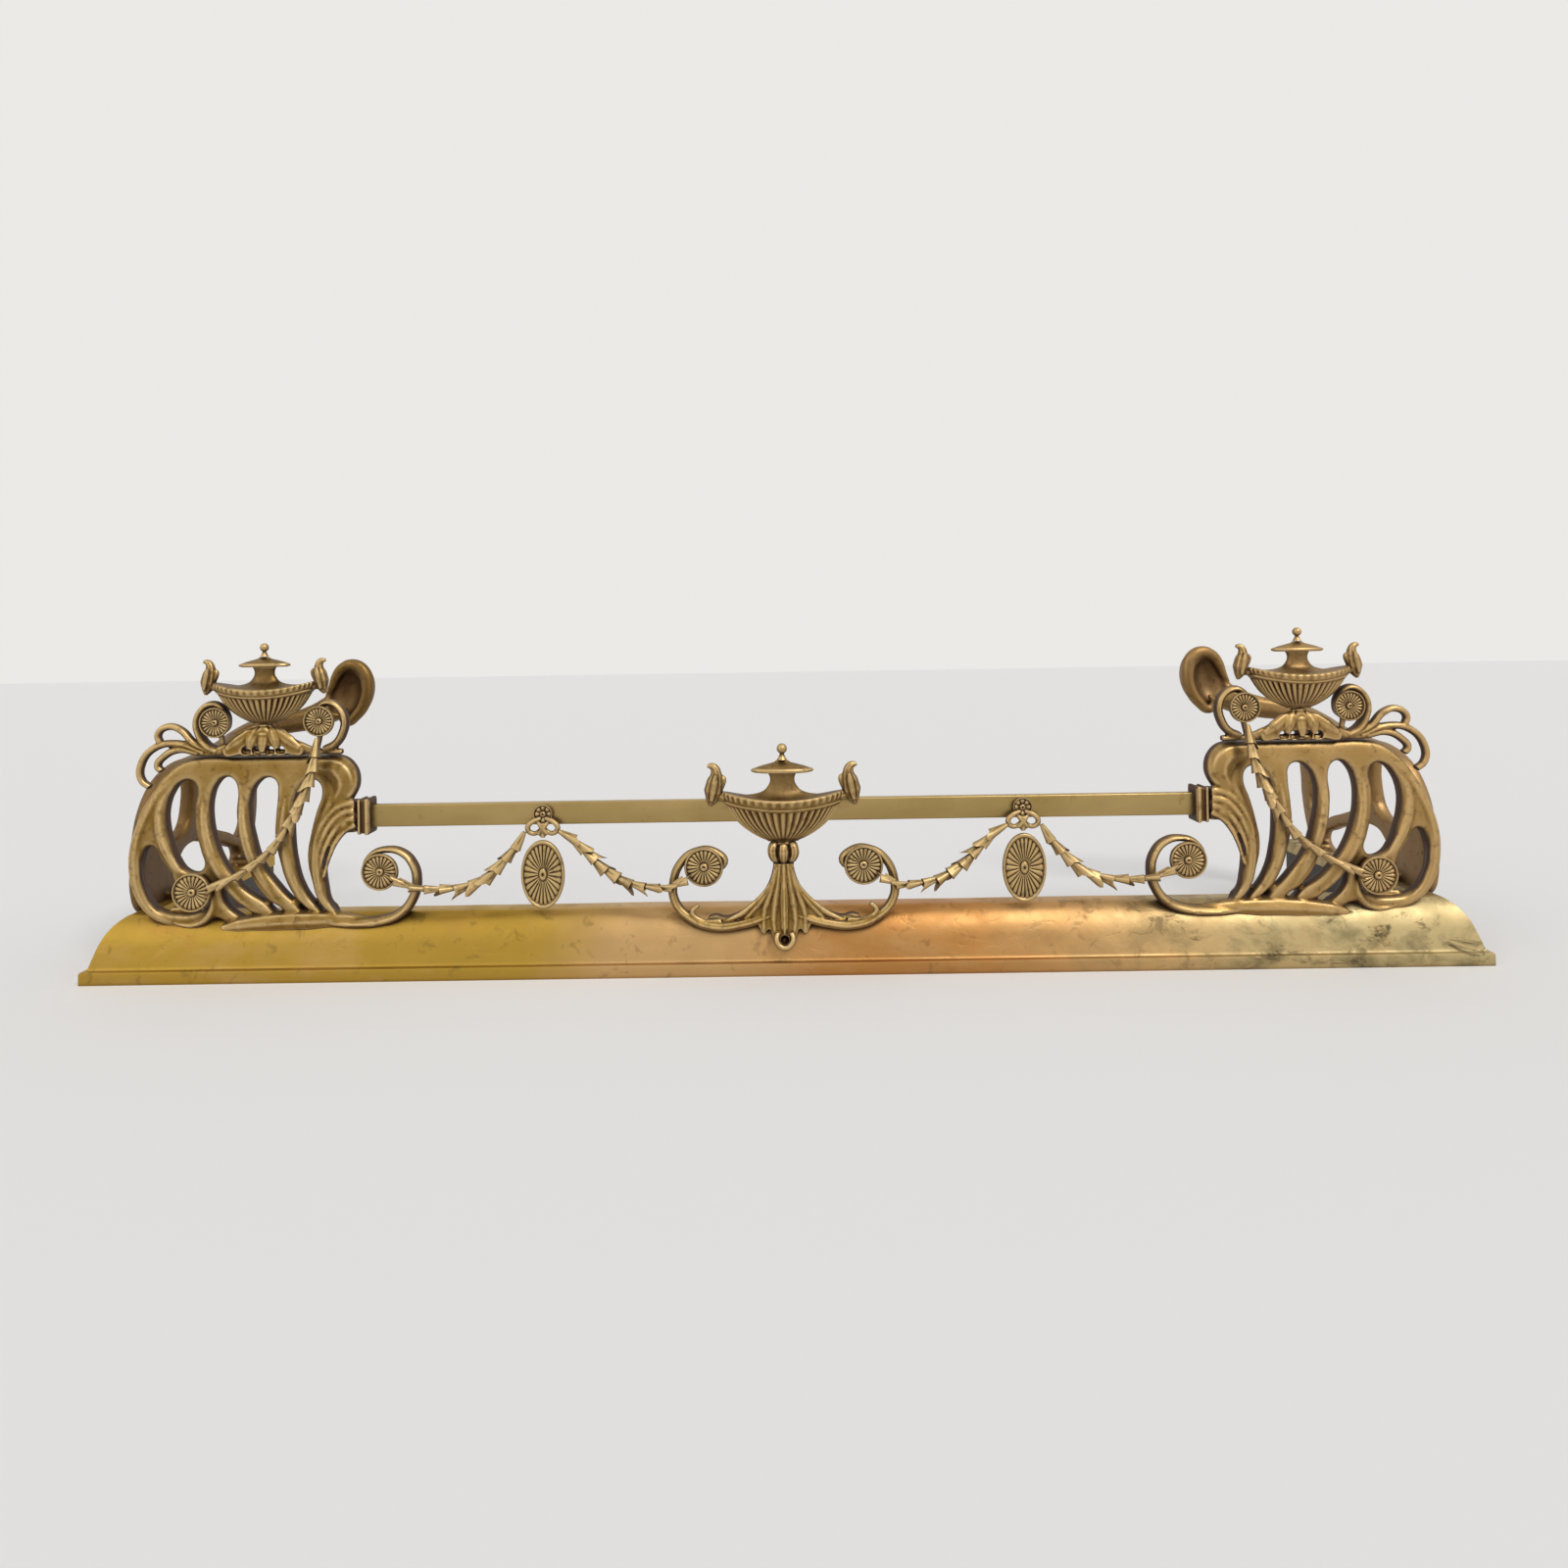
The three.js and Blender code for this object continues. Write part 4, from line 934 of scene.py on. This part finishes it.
def make_bowl(urn):
    """Boat-shaped bowl: flutes, a banded rim that rises to its ends, a necked top and two handles."""
    x, d, z, half, flat = urn
    flutes = sizes().flutes
    profile = BOWL_FOOT[:-1] + rounded_line(BOWL_FLUTED, 5)[:-1] + rounded_line(BOWL_RIM, 2)[:-1]
    profile += rounded_line(BOWL_SHOULDER, 5) + [(0, BOWL_TOP)]
    body = turned([(r * half, h * half) for r, h in profile], flutes * 6)

    def boat(p):
        turn = math.atan2(p.y, p.x)
        out = math.hypot(p.x, p.y) / (half * MM)
        rise = p.z / (half * MM)
        fluted = max(0, min(1, (rise - 0.03) / 0.08, (0.505 - rise) / 0.03))
        banded = 0.58 < rise < 0.665 and out > 0.97
        grow = 1 - 0.085 * (1 - abs(math.cos(turn * flutes / 2))) * fluted
        grow += 0.012 * math.cos(turn * flutes) if banded else 0
        lift = RIM_LIFT * out**2 * math.cos(turn) ** 2 * min(1, rise / 0.6) * min(1, out)
        return at(x, d, z) + Vector((p.x * grow, p.y * flat * grow, p.z + lift * half * MM))

    shape(body, boat)
    parts = []
    for side in (-1, 1):
        for line, ahead, radius in (
            (HANDLE, 0, lambda t: half * HANDLE_RADII[round(t * (len(HANDLE) - 1))]),
            (HANDLE_ROOT, 0, tapered(0.07 * half, 0.1 * half)),
            (HANDLE_LOBE, 0, tapered(0.09 * half, 0.04 * half)),
            (HANDLE[1:5], 0.12 * half, swelling(0.03 * half, 0.06 * half)),
        ):
            parts.append(limb([(x + side * u * half, d - ahead, z + h * half) for u, h in line], radius))
    handles = cast(parts, sizes().fine_grain, 1)
    return join(body, handles)


def make_lid(urn):
    """Flat conical lid, never flatter from front to back than an end urn's."""
    profile = LID_EDGE + rounded_line(LID_CONE, 4)[1:] + [(0, LID_TOP)]
    body = turned([(r * urn.half, h * urn.half) for r, h in profile], 72)
    depth = max(urn.flat, END_URN.flat)
    foot = at(urn.x, urn.d, urn.z + (BOWL_TOP * urn.half + GAP))
    return shape(body, lambda p: foot + Vector((p.x, p.y * depth, p.z)))


def make_finial(urn):
    """Ball on a short waisted neck."""
    half = urn.half
    foot = (BOWL_TOP + LID_TOP) * half + 2 * GAP
    radius = BALL_RADIUS * half
    middle = foot + 0.18 * half
    neck = [(r * half, foot + h * half) for r, h in ((0, 0), (0.085, 0), (0.065, 0.03), (0.045, 0.07))]
    neck.append((0.035 * half, middle - radius))
    turns = [math.radians(-62 + 19 * i) for i in range(8)]
    knob = [(radius * math.cos(turn), middle + radius * math.sin(turn)) for turn in turns]
    body = turned([*neck, *knob, (0, middle + radius)], 32)
    return shape(body, lambda p: p + at(urn.x, urn.d, urn.z))


# ---------- applied ornaments ----------


# Profile of a disc as shares of its radius and of its depth: the raised rim.
DISC_RIM = [
    (0, 0), (0.97, 0), (1.0, 0.2), (1.0, 0.5), (0.985, 0.68), (0.955, 0.76), (0.915, 0.74), (0.89, 0.62),
]
KNOT_X = 238
# The right-hand patera: X, D, Z, half width and half height.
PATERA = (KNOT_X, 26, 96, 21.5, 34)


def make_disc(across, up, petals, boss_size, deep):
    """Face of a rosette or patera at the origin: a raised rim, radial petals and a boss."""
    field = [
        (0.87, 0.52), (0.83, 0.56), (0.74, 0.62), (0.58, 0.60), (boss_size + 0.12, 0.48),
        (boss_size + 0.03, 0.4),
    ]
    middle = [
        (boss_size, 0.55), (boss_size * 0.85, 0.66), (boss_size * 0.5, 0.72), (boss_size * 0.3, 0.6),
        (0, 0.58),
    ]
    profile = DISC_RIM + rounded_line(field, 3) + middle
    body = turned([(r * 1000, h * 1000) for r, h in profile], petals * 6)

    def place(p):
        out = math.hypot(p.x, p.y)
        turn = math.atan2(p.y, p.x)
        height = p.z
        if boss_size + 0.02 < out < 0.865 and p.z > 0.2:
            edge = min(1, (out - boss_size) / 0.15, (0.88 - out) / 0.05)
            height -= 0.17 * (1 - abs(math.cos(turn * petals / 2))) ** 1.3 * edge
        return Vector((p.x * across * MM, -height * deep * MM, p.y * up * MM))

    return clean(shape(body, place))


def placed_disc(x, d, z, across, up, petals, boss_size=0.2, deep=7.0):
    """Disc moved to its place on the fender."""
    disc = make_disc(across, up, petals, boss_size, deep)
    return shape(disc, lambda p: p + at(x, d, z))


# Profile of a husk of unit size: distance from its axis, and distance along it.
HUSK = [
    (0, -0.15), (0.38, -0.12), (0.54, 0.06), (0.7, 0.3), (0.84, 0.55), (0.96, 0.78), (1.12, 0.98),
    (0.82, 0.92), (0.5, 0.8), (0, 0.76),
]


def make_husk():
    """Bell-shaped husk along +Z with three pointed leaves round its mouth."""
    body = turned([(r * 1000, h * 1000) for r, h in HUSK], 18)

    def leafed(p):
        turn = math.atan2(p.y, p.x)
        tip = max(0.0, math.cos(1.5 * turn)) ** 2 if p.z > 0.6 else 0.0
        out = math.hypot(p.x, p.y)
        groove = 1 - 0.26 * (1 - abs(math.cos(1.5 * turn))) * (out > 0.4)
        push = tip * max(0.0, (out - 0.7) / 0.3)
        flare = 1 + 0.28 * push
        return Vector((p.x * groove * flare, p.y * groove * flare, p.z + 0.30 * push))

    return shape(body, leafed)


def along(points, share):
    """Place and direction a share of the way along a smooth line of (x, d, z) points."""
    line = [at(*p) for p in rounded_line(points, 8)]
    steps = [(b - a).length for a, b in zip(line, line[1:])]
    left = share * sum(steps)
    for start, end, step in zip(line, line[1:], steps):
        if left <= step or end is line[-1]:
            return start.lerp(end, min(1, left / step)), (end - start).normalized()
        left -= step


def make_swag(points, husks, slim, stout, bulge_at):
    """Chain of husks hanging from the first point to the last, with a thin stalk through it."""
    total = sum((at(*b) - at(*a)).length for a, b in zip(points, points[1:]))
    pitch = total / husks
    seed = make_husk()
    chain = []
    for i in range(husks):
        place, way = along(points, (i + 0.02) / husks)
        middle = math.exp(-((((i + 0.5) / husks) - bulge_at) / 0.33) ** 2)
        size = slim + (stout - slim) * middle
        husk = copy(seed)
        turn = way.to_track_quat("Z", "Y") @ Euler((0, 0, 0.9 * i)).to_quaternion()
        long = pitch * 1.15
        shape(husk, lambda p: place + turn @ Vector((p.x * size * MM, p.y * size * MM, p.z * long)))
        chain.append(husk)
    stalk = limb(points, slim * 0.62)
    ribbon = limb(points[-2:], slim * 0.85)
    remove(seed)
    return clean(join(*chain, stalk, ribbon), 1e-7)


# Swags: the line each hangs in, its number of husks, the radius of its slimmest and stoutest husk,
# and how far along the stoutest is.
SWAGS = {
    "swag_outer": ([
        (256, 22, 137), (262, 22, 127), (278, 22, 108), (294, 22, 94), (311, 21, 87), (328, 18, 85),
        (345, 13, 86), (362, 8, 89), (376.5, 11, 95),
    ], 10, 3.9, 6.6, 0.34),
    "swag_inner": ([
        (220, 22, 138), (210, 22, 132), (196, 22, 119), (181, 20, 105), (160, 16, 92), (141, 11, 87),
        (120, 5, 86), (107, 4, 88), (97.5, 7, 94),
    ], 10, 3.9, 6.6, 0.34),
    "swag_end": ([
        (457, 16, 233), (458, 13, 216), (462, 10, 196), (469, 8, 176), (480, 7, 155), (494, 7, 134),
        (515, 8, 115), (537, 8, 101), (559, 8, 92),
    ], 13, 3.9, 6.2, 0.3),
}
# The knot's ribbon: distance outside its middle, in front of its button's back, and Z.
KNOT_D = 30.7
KNOT_BOW = [(2, 3, 151), (10, 5, 148), (15, 5, 141), (9, 4, 136), (2, 4, 140)]
KNOT_TAIL = [(-6, 3, 148), (0, 5, 141), (5, 5, 135)]


def make_knot():
    """Petalled button with a crossed ribbon under it."""
    button = placed_disc(KNOT_X, KNOT_D, RAIL_Z, 9.5, 9.5, 8, 0.3)
    ribbons = []
    for side in (-1, 1):
        for line, ends in ((KNOT_BOW, 2), (KNOT_TAIL, 1.8)):
            line = [(KNOT_X + side * out, KNOT_D - ahead, z) for out, ahead, z in line]
            ribbons.append(limb(line, swelling(ends, 2.8)))
    ribbons.append(limb([(KNOT_X, KNOT_D - 4, 146), (KNOT_X, KNOT_D - 5, 132)], 2.6))
    return join(button, cast(ribbons, sizes().fine_grain, 2))


# ---------- centre mount ----------

# Right half of the acanthus leaf's outline, from its top down to its middle lobe.
LEAF_HALF = [
    (9, 112), (10, 103), (12, 93), (16, 83), (21, 75), (28, 67), (37, 60), (47, 55.5), (58, 53.5),
    (69, 55), (75, 51), (68, 46), (57, 45), (48, 48), (42, 43), (35, 46), (29, 51), (25, 45), (20, 38),
    (15, 43), (12, 37), (7, 29),
]
# Folds of the leaf on the right-hand side, each with its radius at the ends and in the middle.
LEAF_FOLDS = [
    ([(0, 108), (0, 85), (0, 60), (0, 44), (0, 38)], 2.4, 4.4),
    ([(4, 106), (6, 88), (9, 68), (10.5, 52), (9, 38)], 2, 3.4),
    ([(6, 104), (10, 88), (16, 72), (20, 56), (20, 42)], 2, 3.4),
    ([(8, 100), (13, 84), (23, 70), (34, 57), (41, 46.5)], 2, 3.4),
    ([(9, 94), (18, 79), (32, 65), (48, 54), (62, 49), (71, 51)], 1.8, 3),
]
# Rolled lip at the leaf's foot.
LEAF_LIP = [
    (-6.5, 3, 41), (-8, 0, 35), (-5, -1, 29.5), (0, -1.5, 27.5), (5, -1, 29.5), (8, 0, 35), (6.5, 3, 41),
]
LEAF_THICK = 18
# Scroll arm and tendril on the right-hand side.
CENTRE_ARM = [
    (12, 16, 56), (40, 13, 48), (70, 12, 46), (92, 14, 54), (107, 16, 70), (108, 17, 90), (100, 17, 108),
    (86, 17, 118), (68, 17, 118), (58, 17, 106), (78, 20, 104),
]
CENTRE_TENDRIL = [(62, 12, 50), (80, 11, 51), (90, 11, 60), (84, 11, 67)]
COLLAR_LOW = 106.5
COLLAR_HIGH = 127
# Leaf of the collar: distance from its axis, and Z.
COLLAR_LEAF = [(6, 107), (10, 111.5), (12, 117.5), (10.5, 123.5), (8, 126)]


def leaf_depth(x, z):
    """Depth of the leaf's face: it flares forwards at its foot and falls back to its sides."""
    flare = 6 * max(0, min(1, (62 - z) / 34)) ** 1.5
    return 8.5 - flare + 5 * (abs(x) / 60) ** 1.4


def make_centre_mount(cutter):
    """Acanthus leaf lying on the kerb's front, with a scroll arm to each side."""
    outline = LEAF_HALF + [(-x, z) for x, z in reversed(LEAF_HALF)]
    leaf = plate([outline], LEAF_THICK, 1.6)
    modify(leaf, "REMESH", mode="VOXEL", voxel_size=1.2 * MM)

    def laid(p):
        middle = leaf_depth(p.x / MM, p.z / MM) + LEAF_THICK / 2
        return p + Vector((0, FRONT + middle * MM, 0))

    parts = [shape(leaf, laid)]
    for points, ends, middle in LEAF_FOLDS:
        for side in (-1, 1):
            if side < 0 or points[0][0] > 0:
                fold = [(side * x, leaf_depth(x, z) + middle * 0.4, z) for x, z in points]
                parts.append(limb(fold, swelling(ends, middle)))
    parts.append(limb(LEAF_LIP, 2.7))
    x, d, z, radius = CENTRE_ROSETTE
    for side in (-1, 1):
        arm, tendril = ([(side * x, d, z) for x, d, z in line] for line in (CENTRE_ARM, CENTRE_TENDRIL))
        parts.append(limb(arm, tapered(5.5, 3.4), deep=1.4))
        parts.append(limb(tendril, tapered(3.4, 2.4)))
        parts.append(boss((side * x, d, z, radius), 13, 11))
    parts.append(block(22, 30, LUG_HEIGHT, 0, 34, LUG_Z))
    piece = cast(parts, sizes().fine_grain * 1.1, 2)
    above = block(60, 40, 60, 0, 20, COLLAR_LOW - GAP + 30)
    curl = ball(4.8, 7, 4.6, 0, 1.5, 34)
    cut(piece, cutter, above, curl)
    remove(above, curl)
    return piece


def make_collar():
    """Calyx of six small leaves under the centre urn."""
    core = [(0, COLLAR_LOW), (6, COLLAR_LOW), (9, 114), (7, COLLAR_HIGH), (0, COLLAR_HIGH)]
    core = turned(core, 32)
    shape(core, lambda p: Vector((p.x, p.y * 0.62, p.z)) + at(0, CENTRE_URN.d, 0))
    parts = [core]
    for i in range(6):
        turn = math.radians(60 * i + 30)
        line = [(r * math.cos(turn), CENTRE_URN.d + 0.7 * r * math.sin(turn), h) for r, h in COLLAR_LEAF]
        parts.append(limb(line, swelling(2.4, 5.4)))
    piece = cast(parts, sizes().fine_grain, 1)
    for z in (COLLAR_LOW - 20, COLLAR_HIGH + 20):
        end = block(60, 60, 40, 0, CENTRE_URN.d, z)
        cut(piece, end)
        remove(end)
    return piece


# ---------- rail, ferrules and screws ----------


def make_rail():
    """Flat bar with rounded edges, as large as the CAD's."""
    low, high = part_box("rail")
    across, deep, up = ((high - low) / MM)[:]
    return block(across, deep, up, 0, RAIL_D, RAIL_Z, 1.2)


def make_ferrule():
    """Sleeve on the end of the rail, with a raised band near each of its ends."""
    low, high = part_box("rail_ferrule_right")
    across, deep, up = ((high - low) / MM)[:]
    x = (low.x + high.x) / 2 / MM
    piece = block(across, deep, up, x, RAIL_D, RAIL_Z, 1.6)
    bands = [
        block(4, deep + 2.4, up + 2.4, x - 3.6, RAIL_D, RAIL_Z, 1.2),
        block(2.6, deep + 1.6, up + 1.6, x + 4.2, RAIL_D, RAIL_Z, 0.9),
    ]
    inside = block(60, RAIL_DEEP + 2 * GAP, RAIL_HEIGHT + 2 * GAP, x, RAIL_D, RAIL_Z)
    for band in bands:
        modify(piece, "BOOLEAN", operation="UNION", object=band, solver="EXACT")
    cut(piece, inside)
    remove(inside, *bands)
    return piece


def make_screw(x, d):
    """Slotted cheese-head screw standing on a lug."""
    shank = [(0, -18), (1.6, -18), (2.5, -16), (2.5, 0)]
    head = [(5.2, 0), (5.2, 1.4), (4.6, 2.8), (3, 3.6), (0, 3.8)]
    body = turned(shank + head, 32)
    deselect()
    bpy.ops.mesh.primitive_cube_add(size=1, location=(0, 0, 3.6 * MM))
    slot = bpy.context.object
    slot.scale = (12 * MM, 1.1 * MM, 1.8 * MM)
    settle(slot)
    cut(body, slot)
    remove(slot)
    return shape(body, lambda p: p + at(x, d, LUG_TOP + GAP))


# ---------- operators ----------


class MakeStep(bpy.types.Operator):
    """Base of the steps that model one group of pieces"""

    bl_idname = "fender.step"
    bl_label = "Step"
    bl_options = {"REGISTER", "UNDO"}

    def execute(self, context):
        self.make()
        return {"FINISHED"}

    def make(self):
        raise RuntimeError("a step has to say what it makes")


class MakeKerb(MakeStep):
    """Model the pressed sheet kerb: the front and both returns"""

    bl_idname = "fender.kerb"
    bl_label = "Kerb"

    def make(self):
        hand_in(thickened(kerb_run(220, front_place)), "kerb_front", "kerb_brass", 35)
        hand_in_pair(thickened(kerb_run(70, return_place)), "kerb_return", "kerb_brass", 35)


class MakeCages(MakeStep):
    """Model the openwork cages at the front corners"""

    bl_idname = "fender.cages"
    bl_label = "End cages"

    def make(self):
        cutter = seat(front_place)
        hand_in_pair(make_cage(cutter), "end_cage", "cast_brass", 60)
        remove(cutter)


class MakeSideCastings(MakeStep):
    """Model the openwork castings on the returns, with their rear scrolls"""

    bl_idname = "fender.side_castings"
    bl_label = "Side castings"

    def make(self):
        cutter = seat(return_place)
        hand_in_pair(make_side_casting(cutter), "side_casting", "cast_brass", 60, "side_brass")
        remove(cutter)


class MakeCrests(MakeStep):
    """Model the crests of scrolls, leaf and loops on the cages"""

    bl_idname = "fender.crests"
    bl_label = "Crests"

    def make(self):
        hand_in_pair(make_crest(), "crest", "cast_brass", 60)


class MakeUrns(MakeStep):
    """Model the three urns: bowl, lid and finial"""

    bl_idname = "fender.urns"
    bl_label = "Urns"

    def make(self):
        parts = {"bowl": make_bowl, "lid": make_lid, "finial": make_finial}
        for part, make_part in parts.items():
            hand_in_pair(make_part(END_URN), "urn_" + part, "urn_brass")
        for part, make_part in parts.items():
            hand_in(make_part(CENTRE_URN), f"urn_{part}_centre", "urn_brass")


class MakeDiscs(MakeStep):
    """Model the round rosettes and the oval paterae"""

    bl_idname = "fender.discs"
    bl_label = "Rosettes and paterae"

    def make(self):
        rosettes = {
            "rosette_lower": LOWER_ROSETTE,
            "rosette_volute": VOLUTE_ROSETTE,
            "rosette_centre": CENTRE_ROSETTE,
            "rosette_upper_inner": (CREST_X - UPPER_SPREAD, UPPER_D, UPPER_Z, UPPER_RADIUS),
            "rosette_upper_outer": (CREST_X + UPPER_SPREAD, UPPER_D, UPPER_Z, UPPER_RADIUS),
        }
        for stem, (x, d, z, radius) in rosettes.items():
            rosette = placed_disc(x, d - GAP, z, radius, radius, sizes().petals)
            hand_in_pair(rosette, stem, "ornament_brass", 50)
        patera = placed_disc(*PATERA, sizes().rays, 0.17, 6.6)
        hand_in_pair(patera, "patera", "ornament_brass", 50)


class MakeSwags(MakeStep):
    """Model the husk swags and the ribbon knots"""

    bl_idname = "fender.swags"
    bl_label = "Swags and knots"

    def make(self):
        for stem, swag in SWAGS.items():
            hand_in_pair(make_swag(*swag), stem, "ornament_brass")
        hand_in_pair(make_knot(), "ribbon_knot", "ornament_brass")


class MakeCentre(MakeStep):
    """Model the acanthus mount and the calyx under the centre urn"""

    bl_idname = "fender.centre"
    bl_label = "Centre mount"

    def make(self):
        cutter = seat(front_place)
        hand_in(make_centre_mount(cutter), "centre_mount", "cast_brass", 60)
        remove(cutter)
        hand_in(make_collar(), "calyx_collar", "cast_brass", 60)


class MakeRail(MakeStep):
    """Model the rail bar and its ferrules"""

    bl_idname = "fender.rail"
    bl_label = "Rail"

    def make(self):
        hand_in(make_rail(), "rail", "rail_brass")
        hand_in_pair(make_ferrule(), "rail_ferrule", "cast_brass")


class MakeScrews(MakeStep):
    """Model the screws that hold the castings, and finish the iron frame"""

    bl_idname = "fender.screws"
    bl_label = "Screws and iron frame"

    def make(self):
        places = {f"cage_screw_right_{i + 1}": (x, SCREW_D) for i, x in enumerate(CAGE_SCREW_X)}
        places |= {f"side_screw_right_{i + 1}": (HALF - SCREW_D, d) for i, d in enumerate(SIDE_SCREW_D)}
        for node, (x, d) in places.items():
            screw = make_screw(x, d)
            twin = mirrored(screw)
            hand_in(screw, node, "iron")
            hand_in(twin, node.replace("right", "left"), "iron")
        hand_in(make_screw(0, SCREW_D), "centre_screw", "iron")
        for name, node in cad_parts.items():
            if name.startswith(("under_frame", "corner_bracket")):
                node.data.materials.clear()
                node.data.materials.append(finish("iron"))


# Camera fitted to the photograph: its place (X, D and Z), and its turn in degrees.
CAMERA_PLACE = (-19, -1010, 342)
CAMERA_YAW = -0.17
CAMERA_ROLL = 0.88
CAMERA_LENS = 24.0
CAMERA_SHIFT = (0.017, -0.103)


class SetStage(MakeStep):
    """Set the floor, the lights and the camera"""

    bl_idname = "fender.stage"
    bl_label = "Floor, lights and camera"

    def make(self):
        self.make_floor()
        self.make_lights()
        self.make_camera()

    def make_floor(self):
        deselect()
        bpy.ops.mesh.primitive_plane_add(size=12)
        floor = bpy.context.object
        floor.name = "floor"
        paper = Finish("pale_floor")
        paper.surface((0.90, 0.885, 0.86), 0.0, 1.0)
        floor.data.materials.append(paper.material)

    def make_lights(self):
        world = bpy.data.worlds.new("studio")
        bpy.context.scene.world = world
        world.use_nodes = True
        nodes, links = world.node_tree.nodes, world.node_tree.links
        soft = nodes["Background"]
        soft.inputs["Color"].default_value = (0.96, 0.97, 1.0, 1)
        soft.inputs["Strength"].default_value = 0.45
        pale = nodes.new("ShaderNodeBackground")
        pale.inputs["Color"].default_value = (0.83, 0.82, 0.80, 1)
        pale.inputs["Strength"].default_value = 1.0
        path = nodes.new("ShaderNodeLightPath")
        seen = path.outputs["Is Camera Ray"]
        for ray in ("Is Glossy Ray", "Is Transmission Ray"):
            either = nodes.new("ShaderNodeMath")
            either.operation = "MAXIMUM"
            links.new(seen, either.inputs[0])
            links.new(path.outputs[ray], either.inputs[1])
            seen = either.outputs[0]
        mix = nodes.new("ShaderNodeMixShader")
        links.new(seen, mix.inputs["Fac"])
        links.new(soft.outputs[0], mix.inputs[1])
        links.new(pale.outputs[0], mix.inputs[2])
        links.new(mix.outputs[0], nodes["World Output"].inputs["Surface"])
        self.add_lamp("key", (1.2, -1.5, 2.2), 1.35, 24)
        self.add_lamp("fill", (-1.7, -1.3, 1.5), 0.4, 40)

    def add_lamp(self, name, place, strength, spread):
        """Distant lamp, so that the floor is as bright far away as near the fender."""
        deselect()
        bpy.ops.object.light_add(type="SUN", location=place)
        lamp = bpy.context.object
        lamp.name = name
        lamp.data.energy = strength
        lamp.data.angle = math.radians(spread)
        lamp.rotation_euler = (-Vector(place)).to_track_quat("-Z", "Y").to_euler()

    def make_camera(self):
        deselect()
        turn = (math.radians(90), math.radians(CAMERA_ROLL), math.radians(-CAMERA_YAW))
        bpy.ops.object.camera_add(location=at(*CAMERA_PLACE), rotation=turn)
        camera = bpy.context.object
        camera.name = "photo_view"
        camera.data.sensor_width = 36
        camera.data.lens = CAMERA_LENS
        camera.data.shift_x, camera.data.shift_y = CAMERA_SHIFT
        bpy.context.scene.camera = camera
        bpy.context.scene.view_settings.view_transform = "Standard"


STEPS = (
    SetStage,
    MakeKerb,
    MakeCages,
    MakeSideCastings,
    MakeCrests,
    MakeUrns,
    MakeDiscs,
    MakeSwags,
    MakeCentre,
    MakeRail,
    MakeScrews,
)


class FenderPanel(bpy.types.Panel):
    """Sizes, colours and steps of the fender"""

    bl_idname = "VIEW3D_PT_fender"
    bl_label = "Hearth fender"
    bl_space_type = "VIEW_3D"
    bl_region_type = "UI"
    bl_category = "Fender"

    def draw(self, context):
        column = self.layout.column()
        for settings in (context.scene.fender_sizes, context.scene.fender_colours):
            for key in settings.__annotations__:
                column.prop(settings, key)
        for step in STEPS:
            column.operator(step.bl_idname)


CLASSES = (FenderSizes, FenderColours, *STEPS, FenderPanel)


def register():
    for each in CLASSES:
        bpy.utils.register_class(each)
    bpy.types.Scene.fender_sizes = PointerProperty(type=FenderSizes)
    bpy.types.Scene.fender_colours = PointerProperty(type=FenderColours)


def unregister():
    del bpy.types.Scene.fender_colours
    del bpy.types.Scene.fender_sizes
    for each in reversed(CLASSES):
        bpy.utils.unregister_class(each)


def main():
    register()
    for step in STEPS:
        group, name = step.bl_idname.split(".")
        getattr(getattr(bpy.ops, group), name)()
    deselect()


if __name__ == "__main__":
    main()
